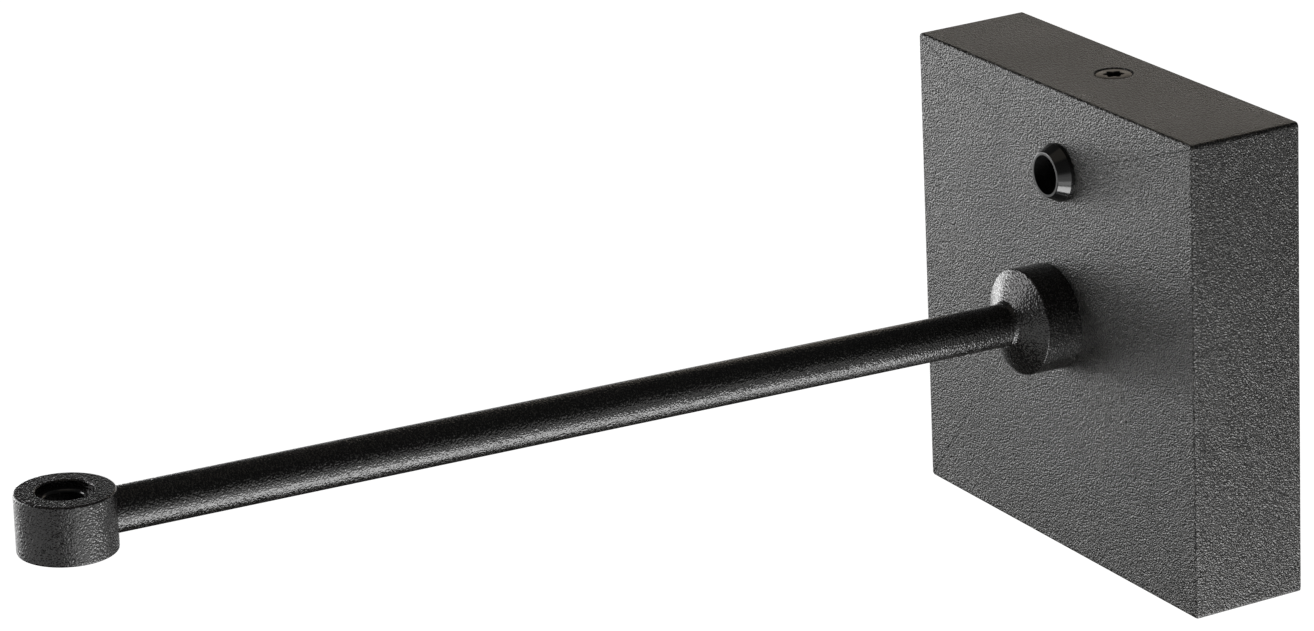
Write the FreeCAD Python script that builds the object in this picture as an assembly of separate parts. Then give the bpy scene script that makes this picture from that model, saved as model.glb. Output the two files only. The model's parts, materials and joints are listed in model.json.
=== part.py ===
import FreeCAD
import Part
import math
import os

# A lamp wall bracket, in millimetres: a square black steel canopy that hides the wiring,
# a straight round arm that leaves its face from a turned collar, and an upright ring at
# the arm's end that guides the lamp's cord. The origin is the middle of the canopy's back
# on the wall, +Z is up, +X is to the right as one faces the wall, and the arm points to -Y.

# Canopy, the square box against the wall, open at its back
canopy_width = 90.0
canopy_height = 90.0
canopy_depth = 23.0
canopy_wall = 1.5
canopy_corner_round = 1.4
canopy_edge_round = 1.0
canopy_inner_round = 0.5

# Wall plate, one folded steel sheet whose two tabs hold the canopy
plate_thickness = 2.0
plate_side_room = 4.5
plate_corner_round = 3.0
tab_width = 24.0
tab_room = 0.2
tab_margin = 6.2
bend_inner_round = 1.0
bend_relief = 0.8
wall_slot_margin = 9.0
wall_slot_width = 5.0
wall_slot_length = 10.0
cable_entry_diameter = 18.0

# Cover screws, countersunk, one through the top of the canopy and one through its bottom
cover_screw_setback = 8.9
cover_screw_diameter = 4.0
cover_screw_length = 10.0
cover_head_diameter = 7.0
cover_head_land = 0.15
cover_head_sink = 0.1
lobe_socket_diameter = 3.9
lobe_waist_diameter = 2.8
lobe_socket_depth = 1.3
clearance_hole_play = 0.25
thread_play = 0.03

# Press nuts, set in the tabs from inside
press_nut_diameter = 7.4
press_nut_height = 2.6
press_nut_shank_diameter = 5.4
press_nut_recess = 0.2
press_play = 0.02

# Arm: place of its axis where it leaves the canopy, and how much it rises outwards
arm_offset = -0.9
arm_height = 0.6
arm_rise_degrees = 1.68
arm_reach = 197.7
rod_diameter = 8.0
rod_play = 0.03

# Collar, turned, with a cone that meets the rod in a hollow round
collar_diameter = 20.0
collar_length = 7.2
collar_cone_length = 2.95
collar_edge_round = 0.2
collar_nose_wall = 0.35
collar_nose_length = 0.75
collar_nose_round = 0.8
collar_seat_depth = 2.0
collar_bottom_wall = 2.0
spigot_diameter = 6.0
spigot_tip_room = 0.5

# The lamp's cord, which the sleeve, the bushing and the clamp are made for
cord_diameter = 5.8
sleeve_cord_play = 0.4
bushing_cord_play = 0.8
cord_grip = 0.3

# End ring, upright, with a recess that holds a bushing
ring_diameter = 17.4
ring_height = 10.7
ring_edge_round = 0.35
ring_recess_bevel = 0.2
ring_spigot_diameter = 5.0
ring_spigot_room = 0.3
bushing_wall = 0.9
bushing_drop = 1.2
bushing_flange_lip = 0.8
bushing_flange_thickness = 1.2
bushing_lip_round = 0.6
bushing_foot_room = 0.3
bushing_foot_bevel = 0.4
bushing_play = 0.05

# Cable sleeve, a flanged tube through the canopy's face above the arm
sleeve_offset = 2.3
sleeve_drop = 15.65
sleeve_thread_wall = 0.9
sleeve_tube_step = 0.25
sleeve_rim_wall = 0.55
sleeve_rim_round = 0.25
sleeve_flange_lip = 1.25
sleeve_flange_thickness = 0.6
sleeve_protrusion = 2.9
sleeve_mouth_depth = 1.6
sleeve_funnel_overrun = 0.1
sleeve_tail_room = 1.5
sleeve_nut_wall = 2.5
sleeve_nut_thickness = 3.5
sleeve_washer_wall = 3.25
sleeve_washer_thickness = 0.8
sleeve_washer_teeth = 10
washer_notch_width = 1.0
washer_notch_depth = 1.5

# Arm fixing, from inside the canopy: a backing plate, two screws and their spring washers
backing_width = 28.0
backing_height = 15.0
backing_thickness = 2.0
backing_corner_round = 2.0
arm_screw_spacing = 13.0
arm_screw_diameter = 4.0
arm_head_diameter = 7.4
arm_head_height = 2.2
arm_head_bevel = 1.0
arm_tap_wall = 0.9
arm_tip_room = 0.6
hex_socket_across_flats = 2.5
hex_socket_depth = 1.2
spring_washer_diameter = 7.2
spring_washer_thickness = 0.9
spring_washer_split = 0.8
washer_hole_play = 0.15

# Terminal block, three ways on the wall plate under the cable entry
terminal_ways = 3
terminal_pitch = 10.5
terminal_width = 17.0
terminal_base = 2.0
terminal_margin = 7.0
terminal_barrel_diameter = 6.8
terminal_barrel_height = 4.6
terminal_chimney_diameter = 5.2
terminal_height = 12.0
terminal_screw_spacing = 8.6
terminal_end_room = 1.0
clamp_diameter = 4.6
clamp_bore_diameter = 3.0
clamp_end_room = 1.8
clamp_play = 0.05
clamp_screw_diameter = 2.6
clamp_screw_length = 4.0
clamp_screw_reach = 0.5
screw_slot_width = 0.5
screw_slot_depth = 0.7
chimney_bore_play = 0.2
fixing_screw_diameter = 2.5
fixing_head_diameter = 4.0
fixing_head_height = 1.6
fixing_pocket_play = 0.3
fixing_tip_room = 0.1

# Earth stud on the wall plate, with its toothed washer and nut
earth_margin = 15.0
earth_height = 18.0
earth_stud_diameter = 4.0
earth_stud_length = 10.0
earth_head_diameter = 6.4
earth_head_height = 0.9
earth_back_room = 0.1
earth_washer_diameter = 9.0
earth_washer_thickness = 0.6
earth_washer_teeth = 8
earth_nut_across_flats = 7.0
earth_nut_thickness = 3.2
nut_corner_angle = 30.0

# Cord clamp, a bent strap on the wall plate that grips the lamp's cord
cord_clamp_margin = 17.0
cord_clamp_height = 18.0
strap_thickness = 1.5
strap_width = 8.0
strap_bend_round = 0.25
strap_screw_diameter = 3.0
strap_head_diameter = 5.4
strap_head_height = 1.9
strap_head_room = 0.4
strap_ear_margin = 0.6

# Places that follow from the sizes above
FACE = -canopy_depth
INNER_FACE = FACE + canopy_wall
PLATE_FRONT = -plate_thickness
PLATE_SIDE = canopy_width / 2 - canopy_wall - plate_side_room
WALL_SLOT_X = PLATE_SIDE - wall_slot_margin
EARTH_X = earth_margin - PLATE_SIDE
CORD_CLAMP_X = PLATE_SIDE - cord_clamp_margin
TAB_TOP = canopy_height / 2 - canopy_wall - tab_room
SLEEVE_Z = canopy_height / 2 - sleeve_drop
SPIGOT_SHOULDER = collar_length + collar_cone_length + collar_nose_length - collar_seat_depth
RING_FLAT = math.sqrt((ring_diameter / 2) ** 2 - (rod_diameter / 2) ** 2)
BUSHING_BORE = (cord_diameter + bushing_cord_play) / 2
BUSHING_BODY = BUSHING_BORE + bushing_wall
RING_RECESS = BUSHING_BODY + bushing_flange_lip
SLEEVE_BORE = (cord_diameter + sleeve_cord_play) / 2
SLEEVE_THREAD = SLEEVE_BORE + sleeve_thread_wall
SLEEVE_TUBE = SLEEVE_THREAD + sleeve_tube_step
SIDE = FreeCAD.Vector(1, 0, 0)
OUT = FreeCAD.Vector(0, -1, 0)
IN = FreeCAD.Vector(0, 1, 0)
UP = FreeCAD.Vector(0, 0, 1)
DOWN = FreeCAD.Vector(0, 0, -1)
SLIVER = 1e-6


def point(x, y, z):
    """A place in the bracket's frame."""
    return FreeCAD.Vector(x, y, z)


def corner_arc(before, corner, after, radius):
    """Start, middle and end of the arc that rounds one corner of an outline."""
    back = (before - corner).normalize()
    ahead = (after - corner).normalize()
    half = back.getAngle(ahead) / 2
    reach = radius / math.tan(half)
    inward = (back + ahead).normalize()
    centre = corner + inward * (radius / math.sin(half))
    return corner + back * reach, centre - inward * radius, corner + ahead * reach


def outline(corners):
    """Flat face inside corners, each given as its place and its rounding radius."""
    count = len(corners)
    arcs = []
    for index, (place, radius) in enumerate(corners):
        if radius > 0:
            before = corners[index - 1][0]
            after = corners[(index + 1) % count][0]
            arcs.append(corner_arc(before, place, after, radius))
        else:
            arcs.append((place, None, place))
    edges = []
    for index, (start, middle, end) in enumerate(arcs):
        if middle is not None:
            edges.append(Part.Arc(start, middle, end).toShape())
        following = arcs[(index + 1) % count][0]
        if end.distanceToPoint(following) > SLIVER:
            edges.append(Part.LineSegment(end, following).toShape())
    return Part.Face(Part.Wire(edges))


def turned(base, axis, profile):
    """Solid of revolution from a profile of (distance along the axis, radius, rounding)."""
    corners = []
    for along, radius, rounding in profile:
        corners.append((base + axis * along + SIDE * radius, rounding))
    return outline(corners).revolve(base, axis, 360)


def rod(base, axis, diameter, length):
    """Round bar, or the tool that drills a hole of this diameter."""
    return Part.makeCylinder(diameter / 2, length, base, axis)


def around(base, axis, radius, degrees):
    """Place on a circle about an axis, counted from the +X side."""
    turn = math.radians(degrees)
    across = axis.cross(SIDE)
    return base + SIDE * (radius * math.cos(turn)) + across * (radius * math.sin(turn))


def hexagon(base, axis, across_flats, length):
    """Six-sided bar, with a corner towards +X."""
    corner_radius = across_flats / math.sqrt(3)
    corners = []
    for number in range(6):
        corners.append((around(base, axis, corner_radius, number * 60), 0))
    return outline(corners).extrude(axis * length)


def lobe_socket(base, axis, depth):
    """Six-lobed recess: convex lobes joined by hollow flutes, each a single arc."""
    lobe_radius = lobe_socket_diameter / 2
    waist_radius = lobe_waist_diameter / 2
    shoulder_radius = (lobe_radius * 2 + waist_radius) / 3
    edges = []
    for number in range(6):
        lobe = number * 60
        first = around(base, axis, shoulder_radius, lobe - 12)
        crest = around(base, axis, lobe_radius, lobe)
        second = around(base, axis, shoulder_radius, lobe + 12)
        hollow = around(base, axis, waist_radius, lobe + 30)
        third = around(base, axis, shoulder_radius, lobe + 48)
        edges.append(Part.Arc(first, crest, second).toShape())
        edges.append(Part.Arc(second, hollow, third).toShape())
    return Part.Face(Part.Wire(edges)).extrude(axis * depth)


def rounded_plate(width, height, front, thickness, corner_round):
    """Upright plate centred on the origin's axis, from its front towards the wall."""
    half_width = width / 2
    half_height = height / 2
    corners = [
        (point(-half_width, front, -half_height), corner_round),
        (point(half_width, front, -half_height), corner_round),
        (point(half_width, front, half_height), corner_round),
        (point(-half_width, front, half_height), corner_round),
    ]
    return outline(corners).extrude(IN * thickness)


def arm_place(depth):
    """Place at a given depth on the arm's axis, before the arm is swung up to its rise."""
    return point(arm_offset, depth, arm_height)


def with_arm(shape):
    """Swing a piece that was drawn level up to the arm's rise, about the arm's root."""
    raised = shape.copy()
    raised.rotate(arm_place(FACE), SIDE, -arm_rise_degrees)
    return raised


def arm_screw_places():
    """Left and right screw places, on the canopy's inner face."""
    middle = arm_place(INNER_FACE)
    half = arm_screw_spacing / 2
    return middle - SIDE * half, middle + SIDE * half


def sleeve_place(depth):
    """Place on the cable sleeve's axis at a given depth."""
    return point(sleeve_offset, depth, SLEEVE_Z)


def make_canopy():
    """Pressed box: rounded square, softened front edge, open back, countersunk screw holes."""
    body = rounded_plate(canopy_width, canopy_height, FACE, canopy_depth, canopy_corner_round)
    front_edges = []
    for edge in body.Edges:
        if edge.BoundBox.YMax < FACE + SLIVER:
            front_edges.append(edge)
    body = body.makeFillet(canopy_edge_round, front_edges)
    pocket_width = canopy_width - 2 * canopy_wall
    pocket_height = canopy_height - 2 * canopy_wall
    pocket_depth = canopy_depth - canopy_wall
    pocket = rounded_plate(
        pocket_width, pocket_height, INNER_FACE, pocket_depth, canopy_inner_round
    )
    body = body.cut(pocket)
    for axis in (UP, DOWN):
        body = body.cut(countersink(axis))
    for place in arm_screw_places():
        hole_diameter = arm_screw_diameter + clearance_hole_play
        body = body.cut(rod(place, OUT, hole_diameter, canopy_wall))
    sleeve_hole = 2 * SLEEVE_THREAD + clearance_hole_play
    return body.cut(rod(sleeve_place(INNER_FACE), OUT, sleeve_hole, canopy_wall))


def countersink(axis):
    """Tool for a cover screw's hole; its cone carries on the cone of the screw's head."""
    mouth_radius = cover_head_diameter / 2 + cover_head_sink + cover_head_land
    hole_radius = (cover_screw_diameter + clearance_hole_play) / 2
    top = point(0, -cover_screw_setback, 0) + axis * (canopy_height / 2)
    through = canopy_wall + 1
    profile = [
        (0, 0, 0),
        (0, mouth_radius, 0),
        (mouth_radius - hole_radius, hole_radius, 0),
        (max(through, mouth_radius - hole_radius + 1), hole_radius, 0),
        (max(through, mouth_radius - hole_radius + 1), 0, 0),
    ]
    return turned(top, axis * -1, profile)


def make_wall_plate():
    """Flat plate with a folded tab at its top and bottom, and its holes."""
    tab_end = -(cover_screw_setback + tab_margin)
    bend_outer_round = bend_inner_round + plate_thickness
    half_tab = tab_width / 2
    tab_under = TAB_TOP - plate_thickness
    profile = [
        (point(-half_tab, tab_end, TAB_TOP), 0),
        (point(-half_tab, 0, TAB_TOP), bend_outer_round),
        (point(-half_tab, 0, -TAB_TOP), bend_outer_round),
        (point(-half_tab, tab_end, -TAB_TOP), 0),
        (point(-half_tab, tab_end, -tab_under), 0),
        (point(-half_tab, PLATE_FRONT, -tab_under), bend_inner_round),
        (point(-half_tab, PLATE_FRONT, tab_under), bend_inner_round),
        (point(-half_tab, tab_end, tab_under), 0),
    ]
    folded_strip = outline(profile).extrude(SIDE * tab_width)
    plate_height = 2 * (TAB_TOP - bend_outer_round - bend_relief)
    flat = rounded_plate(
        2 * PLATE_SIDE, plate_height, PLATE_FRONT, plate_thickness, plate_corner_round
    )
    plate = flat.fuse(folded_strip).removeSplitter()
    for tool in wall_plate_holes():
        plate = plate.cut(tool)
    return plate


def wall_plate_holes():
    """Cable entry, slots for the wall screws, and the holes of all that the plate carries."""
    tools = [rod(point(0, 0, 0), OUT, cable_entry_diameter, plate_thickness)]
    for middle in (-WALL_SLOT_X, WALL_SLOT_X):
        tools.append(wall_slot(middle))
    for axis in (UP, DOWN):
        place = point(0, -cover_screw_setback, 0) + axis * TAB_TOP
        nut_hole = press_nut_shank_diameter + 2 * press_play
        tools.append(rod(place, axis * -1, nut_hole, plate_thickness))
    for place, diameter in terminal_fixing_places() + strap_screw_places():
        tools.append(rod(place, IN, diameter, plate_thickness))
    stud = point(EARTH_X, 0, earth_height)
    tools.append(rod(stud, OUT, earth_stud_diameter + 2 * press_play, plate_thickness))
    head_room = earth_back_room + earth_head_height
    tools.append(rod(stud, OUT, earth_head_diameter + 2 * press_play, head_room))
    return tools


def wall_slot(middle):
    """Level slot with round ends for a wall screw."""
    half_length = wall_slot_length / 2
    half_width = wall_slot_width / 2
    corners = [
        (point(middle - half_length, PLATE_FRONT, -half_width), half_width),
        (point(middle + half_length, PLATE_FRONT, -half_width), half_width),
        (point(middle + half_length, PLATE_FRONT, half_width), half_width),
        (point(middle - half_length, PLATE_FRONT, half_width), half_width),
    ]
    return outline(corners).extrude(IN * plate_thickness)


def make_press_nut(axis):
    """Round nut under a tab, with a shank that fills the tab's hole."""
    seat = point(0, -cover_screw_setback, 0) + axis * (TAB_TOP - press_nut_recess)
    shank_length = plate_thickness - press_nut_recess
    foot = shank_length + press_nut_height
    bore_radius = cover_screw_diameter / 2 + thread_play
    profile = [
        (0, bore_radius, 0),
        (0, press_nut_shank_diameter / 2, 0),
        (shank_length, press_nut_shank_diameter / 2, 0),
        (shank_length, press_nut_diameter / 2, 0),
        (foot, press_nut_diameter / 2, 0),
        (foot, bore_radius, 0),
    ]
    return turned(seat, axis * -1, profile)


def make_cover_screw(axis):
    """Countersunk screw with a six-lobed socket, its head just under the surface."""
    top = point(0, -cover_screw_setback, 0) + axis * (canopy_height / 2 - cover_head_sink)
    head_radius = cover_head_diameter / 2
    shank_radius = cover_screw_diameter / 2
    cone_end = cover_head_land + head_radius - shank_radius
    tip = shank_radius / 4
    profile = [
        (0, 0, 0),
        (0, head_radius, 0),
        (cover_head_land, head_radius, 0),
        (cone_end, shank_radius, 0),
        (cover_screw_length - tip, shank_radius, 0),
        (cover_screw_length, shank_radius - tip, 0),
        (cover_screw_length, 0, 0),
    ]
    screw = turned(top, axis * -1, profile)
    return screw.cut(lobe_socket(top, axis * -1, lobe_socket_depth))


def make_arm_collar():
    """Turned collar, cut off flat where it meets the canopy, bored for the rod's spigot."""
    root = arm_place(FACE)
    collar_radius = collar_diameter / 2
    stock = collar_radius * math.tan(math.radians(arm_rise_degrees)) + 1
    bore_radius = rod_diameter / 2 + rod_play
    nose_radius = bore_radius + collar_nose_wall
    cone_end = collar_length + collar_cone_length
    nose_end = cone_end + collar_nose_length
    spigot_radius = spigot_diameter / 2 + thread_play
    profile = [
        (-stock, 0, 0),
        (-stock, collar_radius, 0),
        (collar_length, collar_radius, collar_edge_round),
        (cone_end, nose_radius, collar_nose_round),
        (nose_end, nose_radius, 0),
        (nose_end, bore_radius, 0),
        (nose_end - collar_seat_depth, bore_radius, 0),
        (nose_end - collar_seat_depth, spigot_radius, 0),
        (collar_bottom_wall, spigot_radius, 0),
        (collar_bottom_wall, 0, 0),
    ]
    collar = with_arm(turned(root, OUT, profile))
    wall_side = rounded_plate(2 * collar_diameter, 2 * collar_diameter, FACE, 2 * stock, 0)
    collar = collar.cut(wall_side)
    for place in arm_screw_places():
        mouth = point(place.x, FACE, place.z)
        tap_diameter = arm_screw_diameter + 2 * thread_play
        collar = collar.cut(rod(mouth, OUT, tap_diameter, collar_length - arm_tap_wall))
    return collar


def make_arm_rod():
    """Straight bar with a turned spigot at each end."""
    root = arm_place(FACE)
    rod_radius = rod_diameter / 2
    spigot_radius = spigot_diameter / 2
    ring_spigot_radius = ring_spigot_diameter / 2
    rod_end = arm_reach - RING_FLAT
    bushing_side = BUSHING_BODY + bushing_play
    profile = [
        (collar_bottom_wall + spigot_tip_room, 0, 0),
        (collar_bottom_wall + spigot_tip_room, spigot_radius, 0),
        (SPIGOT_SHOULDER, spigot_radius, 0),
        (SPIGOT_SHOULDER, rod_radius, 0),
        (rod_end, rod_radius, 0),
        (rod_end, ring_spigot_radius, 0),
        (arm_reach - bushing_side - ring_spigot_room, ring_spigot_radius, 0),
        (arm_reach - bushing_side - ring_spigot_room, 0, 0),
    ]
    return with_arm(turned(root, OUT, profile))


def make_end_ring():
    """Upright turned ring, with a flat seat and a tapped hole for the rod in its side."""
    centre = arm_place(FACE - arm_reach)
    ring_radius = ring_diameter / 2
    half_height = ring_height / 2
    recess_floor = half_height - bushing_drop - bushing_flange_thickness
    bore_radius = BUSHING_BODY + bushing_play
    profile = [
        (-half_height, bore_radius, 0),
        (-half_height, ring_radius, ring_edge_round),
        (half_height, ring_radius, ring_edge_round),
        (half_height, RING_RECESS + ring_recess_bevel, 0),
        (half_height - ring_recess_bevel, RING_RECESS, 0),
        (recess_floor, RING_RECESS, 0),
        (recess_floor, bore_radius, 0),
    ]
    ring = turned(centre, UP, profile)
    seat = centre + IN * RING_FLAT
    ring = ring.cut(rod(seat, IN, rod_diameter + 2 * rod_play, ring_radius))
    tap_diameter = ring_spigot_diameter + 2 * thread_play
    ring = ring.cut(rod(centre, IN, tap_diameter, ring_radius))
    return with_arm(ring)


def make_ring_bushing():
    """Flanged bushing in the ring, its mouth a smooth round for the cord."""
    centre = arm_place(FACE - arm_reach)
    half_height = ring_height / 2
    flange_top = half_height - bushing_drop
    flange_under = flange_top - bushing_flange_thickness
    flange_radius = RING_RECESS - bushing_play
    foot = bushing_foot_room - half_height
    profile = [
        (flange_top, BUSHING_BORE, bushing_lip_round),
        (flange_top, flange_radius, 0),
        (flange_under, flange_radius, 0),
        (flange_under, BUSHING_BODY, 0),
        (foot, BUSHING_BODY, 0),
        (foot, BUSHING_BORE + bushing_foot_bevel, 0),
        (foot + bushing_foot_bevel, BUSHING_BORE, 0),
    ]
    return with_arm(turned(centre, UP, profile))


def make_cable_sleeve():
    """Flanged tube with a wide mouth that narrows to the cord, threaded inside the canopy."""
    flange_radius = SLEEVE_TUBE + sleeve_flange_lip
    mouth_radius = SLEEVE_TUBE - sleeve_rim_wall
    tail = canopy_wall + sleeve_washer_thickness + sleeve_nut_thickness + sleeve_tail_room
    funnel_start = sleeve_protrusion - sleeve_mouth_depth
    funnel_end = -canopy_wall - sleeve_funnel_overrun
    profile = [
        (-tail, SLEEVE_BORE, 0),
        (-tail, SLEEVE_THREAD, 0),
        (0, SLEEVE_THREAD, 0),
        (0, flange_radius, 0),
        (sleeve_flange_thickness, flange_radius, sleeve_flange_thickness / 2),
        (sleeve_flange_thickness, SLEEVE_TUBE, 0),
        (sleeve_protrusion, SLEEVE_TUBE, sleeve_rim_round),
        (sleeve_protrusion, mouth_radius, 0),
        (funnel_start, mouth_radius, 0),
        (funnel_end, SLEEVE_BORE, 0),
    ]
    return turned(sleeve_place(FACE), OUT, profile)


def toothed_washer(base, diameter, hole_diameter, thickness, teeth):
    """Flat lock washer with radial notches round its rim, lying from its base to the wall."""
    washer = rod(base, IN, diameter, thickness).cut(rod(base, IN, hole_diameter, thickness))
    notch = Part.makeBox(washer_notch_depth + 1, thickness, washer_notch_width)
    notch.translate(base)
    notch.translate(point(diameter / 2 - washer_notch_depth, 0, -washer_notch_width / 2))
    for number in range(teeth):
        cutter = notch.copy()
        cutter.rotate(base, IN, number * 360 / teeth)
        washer = washer.cut(cutter)
    return washer


def hex_nut(base, across_flats, hole_diameter, thickness):
    """Hexagon nut with turned-off corners at both ends, from its base towards the wall."""
    corner_radius = across_flats / math.sqrt(3)
    flat_radius = across_flats / 2
    bevel = (corner_radius - flat_radius) * math.tan(math.radians(nut_corner_angle))
    profile = [
        (0, hole_diameter / 2, 0),
        (0, flat_radius, 0),
        (bevel, corner_radius, 0),
        (thickness - bevel, corner_radius, 0),
        (thickness, flat_radius, 0),
        (thickness, hole_diameter / 2, 0),
    ]
    return hexagon(base, IN, across_flats, thickness).common(turned(base, IN, profile))


def make_sleeve_washer():
    """Toothed washer between the canopy's inner face and the sleeve's nut."""
    diameter = 2 * (SLEEVE_THREAD + sleeve_washer_wall)
    hole_diameter = 2 * (SLEEVE_THREAD + washer_hole_play)
    return toothed_washer(
        sleeve_place(INNER_FACE),
        diameter,
        hole_diameter,
        sleeve_washer_thickness,
        sleeve_washer_teeth,
    )


def make_sleeve_nut():
    """Nut that holds the sleeve from inside."""
    base = sleeve_place(INNER_FACE + sleeve_washer_thickness)
    across_flats = 2 * (SLEEVE_THREAD + sleeve_nut_wall)
    hole_diameter = 2 * (SLEEVE_THREAD + thread_play)
    return hex_nut(base, across_flats, hole_diameter, sleeve_nut_thickness)


def make_backing_plate():
    """Small plate behind the canopy's face that spreads the arm's load."""
    plate = rounded_plate(
        backing_width, backing_height, INNER_FACE, backing_thickness, backing_corner_round
    )
    plate.translate(arm_place(0))
    for place in arm_screw_places():
        hole_diameter = arm_screw_diameter + clearance_hole_play
        plate = plate.cut(rod(place, IN, hole_diameter, backing_thickness))
    return plate


def make_arm_washer(place):
    """Spring washer, one turn of flat wire with a split."""
    base = place + IN * backing_thickness
    hole_diameter = arm_screw_diameter + 2 * washer_hole_play
    washer = rod(base, IN, spring_washer_diameter, spring_washer_thickness)
    washer = washer.cut(rod(base, IN, hole_diameter, spring_washer_thickness))
    split = Part.makeBox(spring_washer_split, spring_washer_thickness, spring_washer_diameter)
    split.translate(base)
    split.translate(point(-spring_washer_split / 2, 0, 0))
    return washer.cut(split)


def make_arm_screw(place):
    """Button-head screw with a hexagon socket, from inside the canopy into the collar."""
    seat = place + IN * (backing_thickness + spring_washer_thickness)
    grip = spring_washer_thickness + backing_thickness + canopy_wall
    shank_length = grip + collar_length - arm_tap_wall - arm_tip_room
    shank_radius = arm_screw_diameter / 2
    profile = [
        (arm_head_height, 0, 0),
        (arm_head_height, arm_head_diameter / 2 - arm_head_bevel, 0),
        (arm_head_height - arm_head_bevel, arm_head_diameter / 2, 0),
        (0, arm_head_diameter / 2, 0),
        (0, shank_radius, 0),
        (-shank_length, shank_radius, 0),
        (-shank_length, 0, 0),
    ]
    screw = turned(seat, IN, profile)
    head_top = seat + IN * arm_head_height
    return screw.cut(hexagon(head_top, OUT, hex_socket_across_flats, hex_socket_depth))


def terminal_middle():
    """Middle of the terminal block's back, just above the lower tab's bend."""
    bend = bend_inner_round + plate_thickness
    return point(0, PLATE_FRONT, -TAB_TOP + bend + terminal_margin + terminal_width / 2)


def terminal_way_places():
    """Back of each way, from left to right."""
    places = []
    for number in range(terminal_ways):
        shift = (number - (terminal_ways - 1) / 2) * terminal_pitch
        places.append(terminal_middle() + SIDE * shift)
    return places


def terminal_fixing_places():
    """Holes between the ways, with their diameter in the plate."""
    places = []
    for way in terminal_way_places()[:-1]:
        diameter = fixing_screw_diameter + 2 * thread_play
        places.append((way + SIDE * (terminal_pitch / 2), diameter))
    return places


def clamp_axis_height():
    """How far the clamps' axis lies in front of the wall plate."""
    return terminal_base + terminal_barrel_height - terminal_barrel_diameter / 2


def terminal_screw_places(way):
    """The two screw axes of one way, at the clamp's axis."""
    middle = way + OUT * clamp_axis_height()
    half = terminal_screw_spacing / 2
    return middle + UP * half, middle + DOWN * half


def make_terminal_housing():
    """Moulded strip: a base, a round-topped barrel and two screw chimneys for each way."""
    middle = terminal_middle()
    length = terminal_ways * terminal_pitch
    housing = Part.makeBox(length, terminal_base, terminal_width)
    housing.translate(middle)
    housing.translate(point(-length / 2, -terminal_base, -terminal_width / 2))
    barrel_length = terminal_width - 2 * terminal_end_room
    barrel_radius = terminal_barrel_diameter / 2
    barrel_top = terminal_base + terminal_barrel_height
    for way in terminal_way_places():
        foot = way + DOWN * (barrel_length / 2)
        corners = [
            (foot + SIDE * -barrel_radius, 0),
            (foot + SIDE * barrel_radius, 0),
            (foot + SIDE * barrel_radius + OUT * barrel_top, barrel_radius),
            (foot + SIDE * -barrel_radius + OUT * barrel_top, barrel_radius),
        ]
        housing = housing.fuse(outline(corners).extrude(UP * barrel_length))
        for place in terminal_screw_places(way):
            reach = terminal_height - clamp_axis_height()
            housing = housing.fuse(rod(place, OUT, terminal_chimney_diameter, reach))
    for tool in terminal_housing_holes():
        housing = housing.cut(tool)
    return housing.removeSplitter()


def terminal_housing_holes():
    """Clamp bores, screw wells and the pockets of the fixing screws."""
    tools = []
    for way in terminal_way_places():
        end = way + OUT * clamp_axis_height() + DOWN * (terminal_width / 2)
        tools.append(rod(end, UP, clamp_diameter + 2 * clamp_play, terminal_width))
        for place in terminal_screw_places(way):
            well = clamp_screw_diameter + 2 * chimney_bore_play
            tools.append(rod(place, OUT, well, terminal_height))
    for place, diameter in terminal_fixing_places():
        tools.append(rod(place, OUT, diameter, terminal_base))
        floor = place + OUT * terminal_base
        pocket = fixing_head_diameter + 2 * fixing_pocket_play
        tools.append(rod(floor, OUT, pocket, terminal_height))
    return tools


def make_terminal_clamp(way):
    """Tube clamp with a tapped hole over each end."""
    length = terminal_width - 2 * clamp_end_room
    start = way + OUT * clamp_axis_height() + DOWN * (length / 2)
    clamp = rod(start, UP, clamp_diameter, length)
    clamp = clamp.cut(rod(start, UP, clamp_bore_diameter, length))
    for place in terminal_screw_places(way):
        tap_diameter = clamp_screw_diameter + 2 * thread_play
        clamp = clamp.cut(rod(place, OUT, tap_diameter, clamp_diameter))
    return clamp


def driver_slot(top, diameter):
    """Tool for the slot across the top of a screw that points at the wall."""
    slot = Part.makeBox(diameter, screw_slot_depth, screw_slot_width)
    slot.translate(top)
    slot.translate(point(-diameter / 2, 0, -screw_slot_width / 2))
    return slot


def headed_screw(seat, diameter, head_diameter, head_height, length):
    """Cheese-head screw with a driver slot; its shank points at the wall."""
    screw = rod(seat, OUT, head_diameter, head_height).fuse(rod(seat, IN, diameter, length))
    return screw.cut(driver_slot(seat + OUT * head_height, head_diameter))


def make_terminal_screws():
    """Headless clamp screws, each just into its clamp's bore, as when no wire is fitted."""
    screws = []
    for way in terminal_way_places():
        for place in terminal_screw_places(way):
            tip = place + OUT * (clamp_bore_diameter / 2 - clamp_screw_reach)
            screw = rod(tip, OUT, clamp_screw_diameter, clamp_screw_length)
            top = tip + OUT * clamp_screw_length
            screws.append(screw.cut(driver_slot(top, clamp_screw_diameter)))
    return Part.makeCompound(screws)


def make_terminal_fixing_screws():
    """Screws that hold the terminal block to the wall plate, ending inside the plate."""
    screws = []
    for place, _ in terminal_fixing_places():
        seat = place + OUT * terminal_base
        screws.append(
            headed_screw(
                seat,
                fixing_screw_diameter,
                fixing_head_diameter,
                fixing_head_height,
                terminal_base + plate_thickness - fixing_tip_room,
            )
        )
    return Part.makeCompound(screws)


def make_earth_stud():
    """Threaded stud whose flat head lies in the back of the wall plate."""
    base = point(EARTH_X, -earth_back_room, earth_height)
    length = plate_thickness - earth_back_room + earth_stud_length
    head = rod(base, OUT, earth_head_diameter, earth_head_height)
    return head.fuse(rod(base, OUT, earth_stud_diameter, length))


def make_earth_washer():
    """Toothed washer on the earth stud, flat on the wall plate."""
    base = point(EARTH_X, PLATE_FRONT - earth_washer_thickness, earth_height)
    hole_diameter = earth_stud_diameter + 2 * washer_hole_play
    return toothed_washer(
        base, earth_washer_diameter, hole_diameter, earth_washer_thickness, earth_washer_teeth
    )


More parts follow.
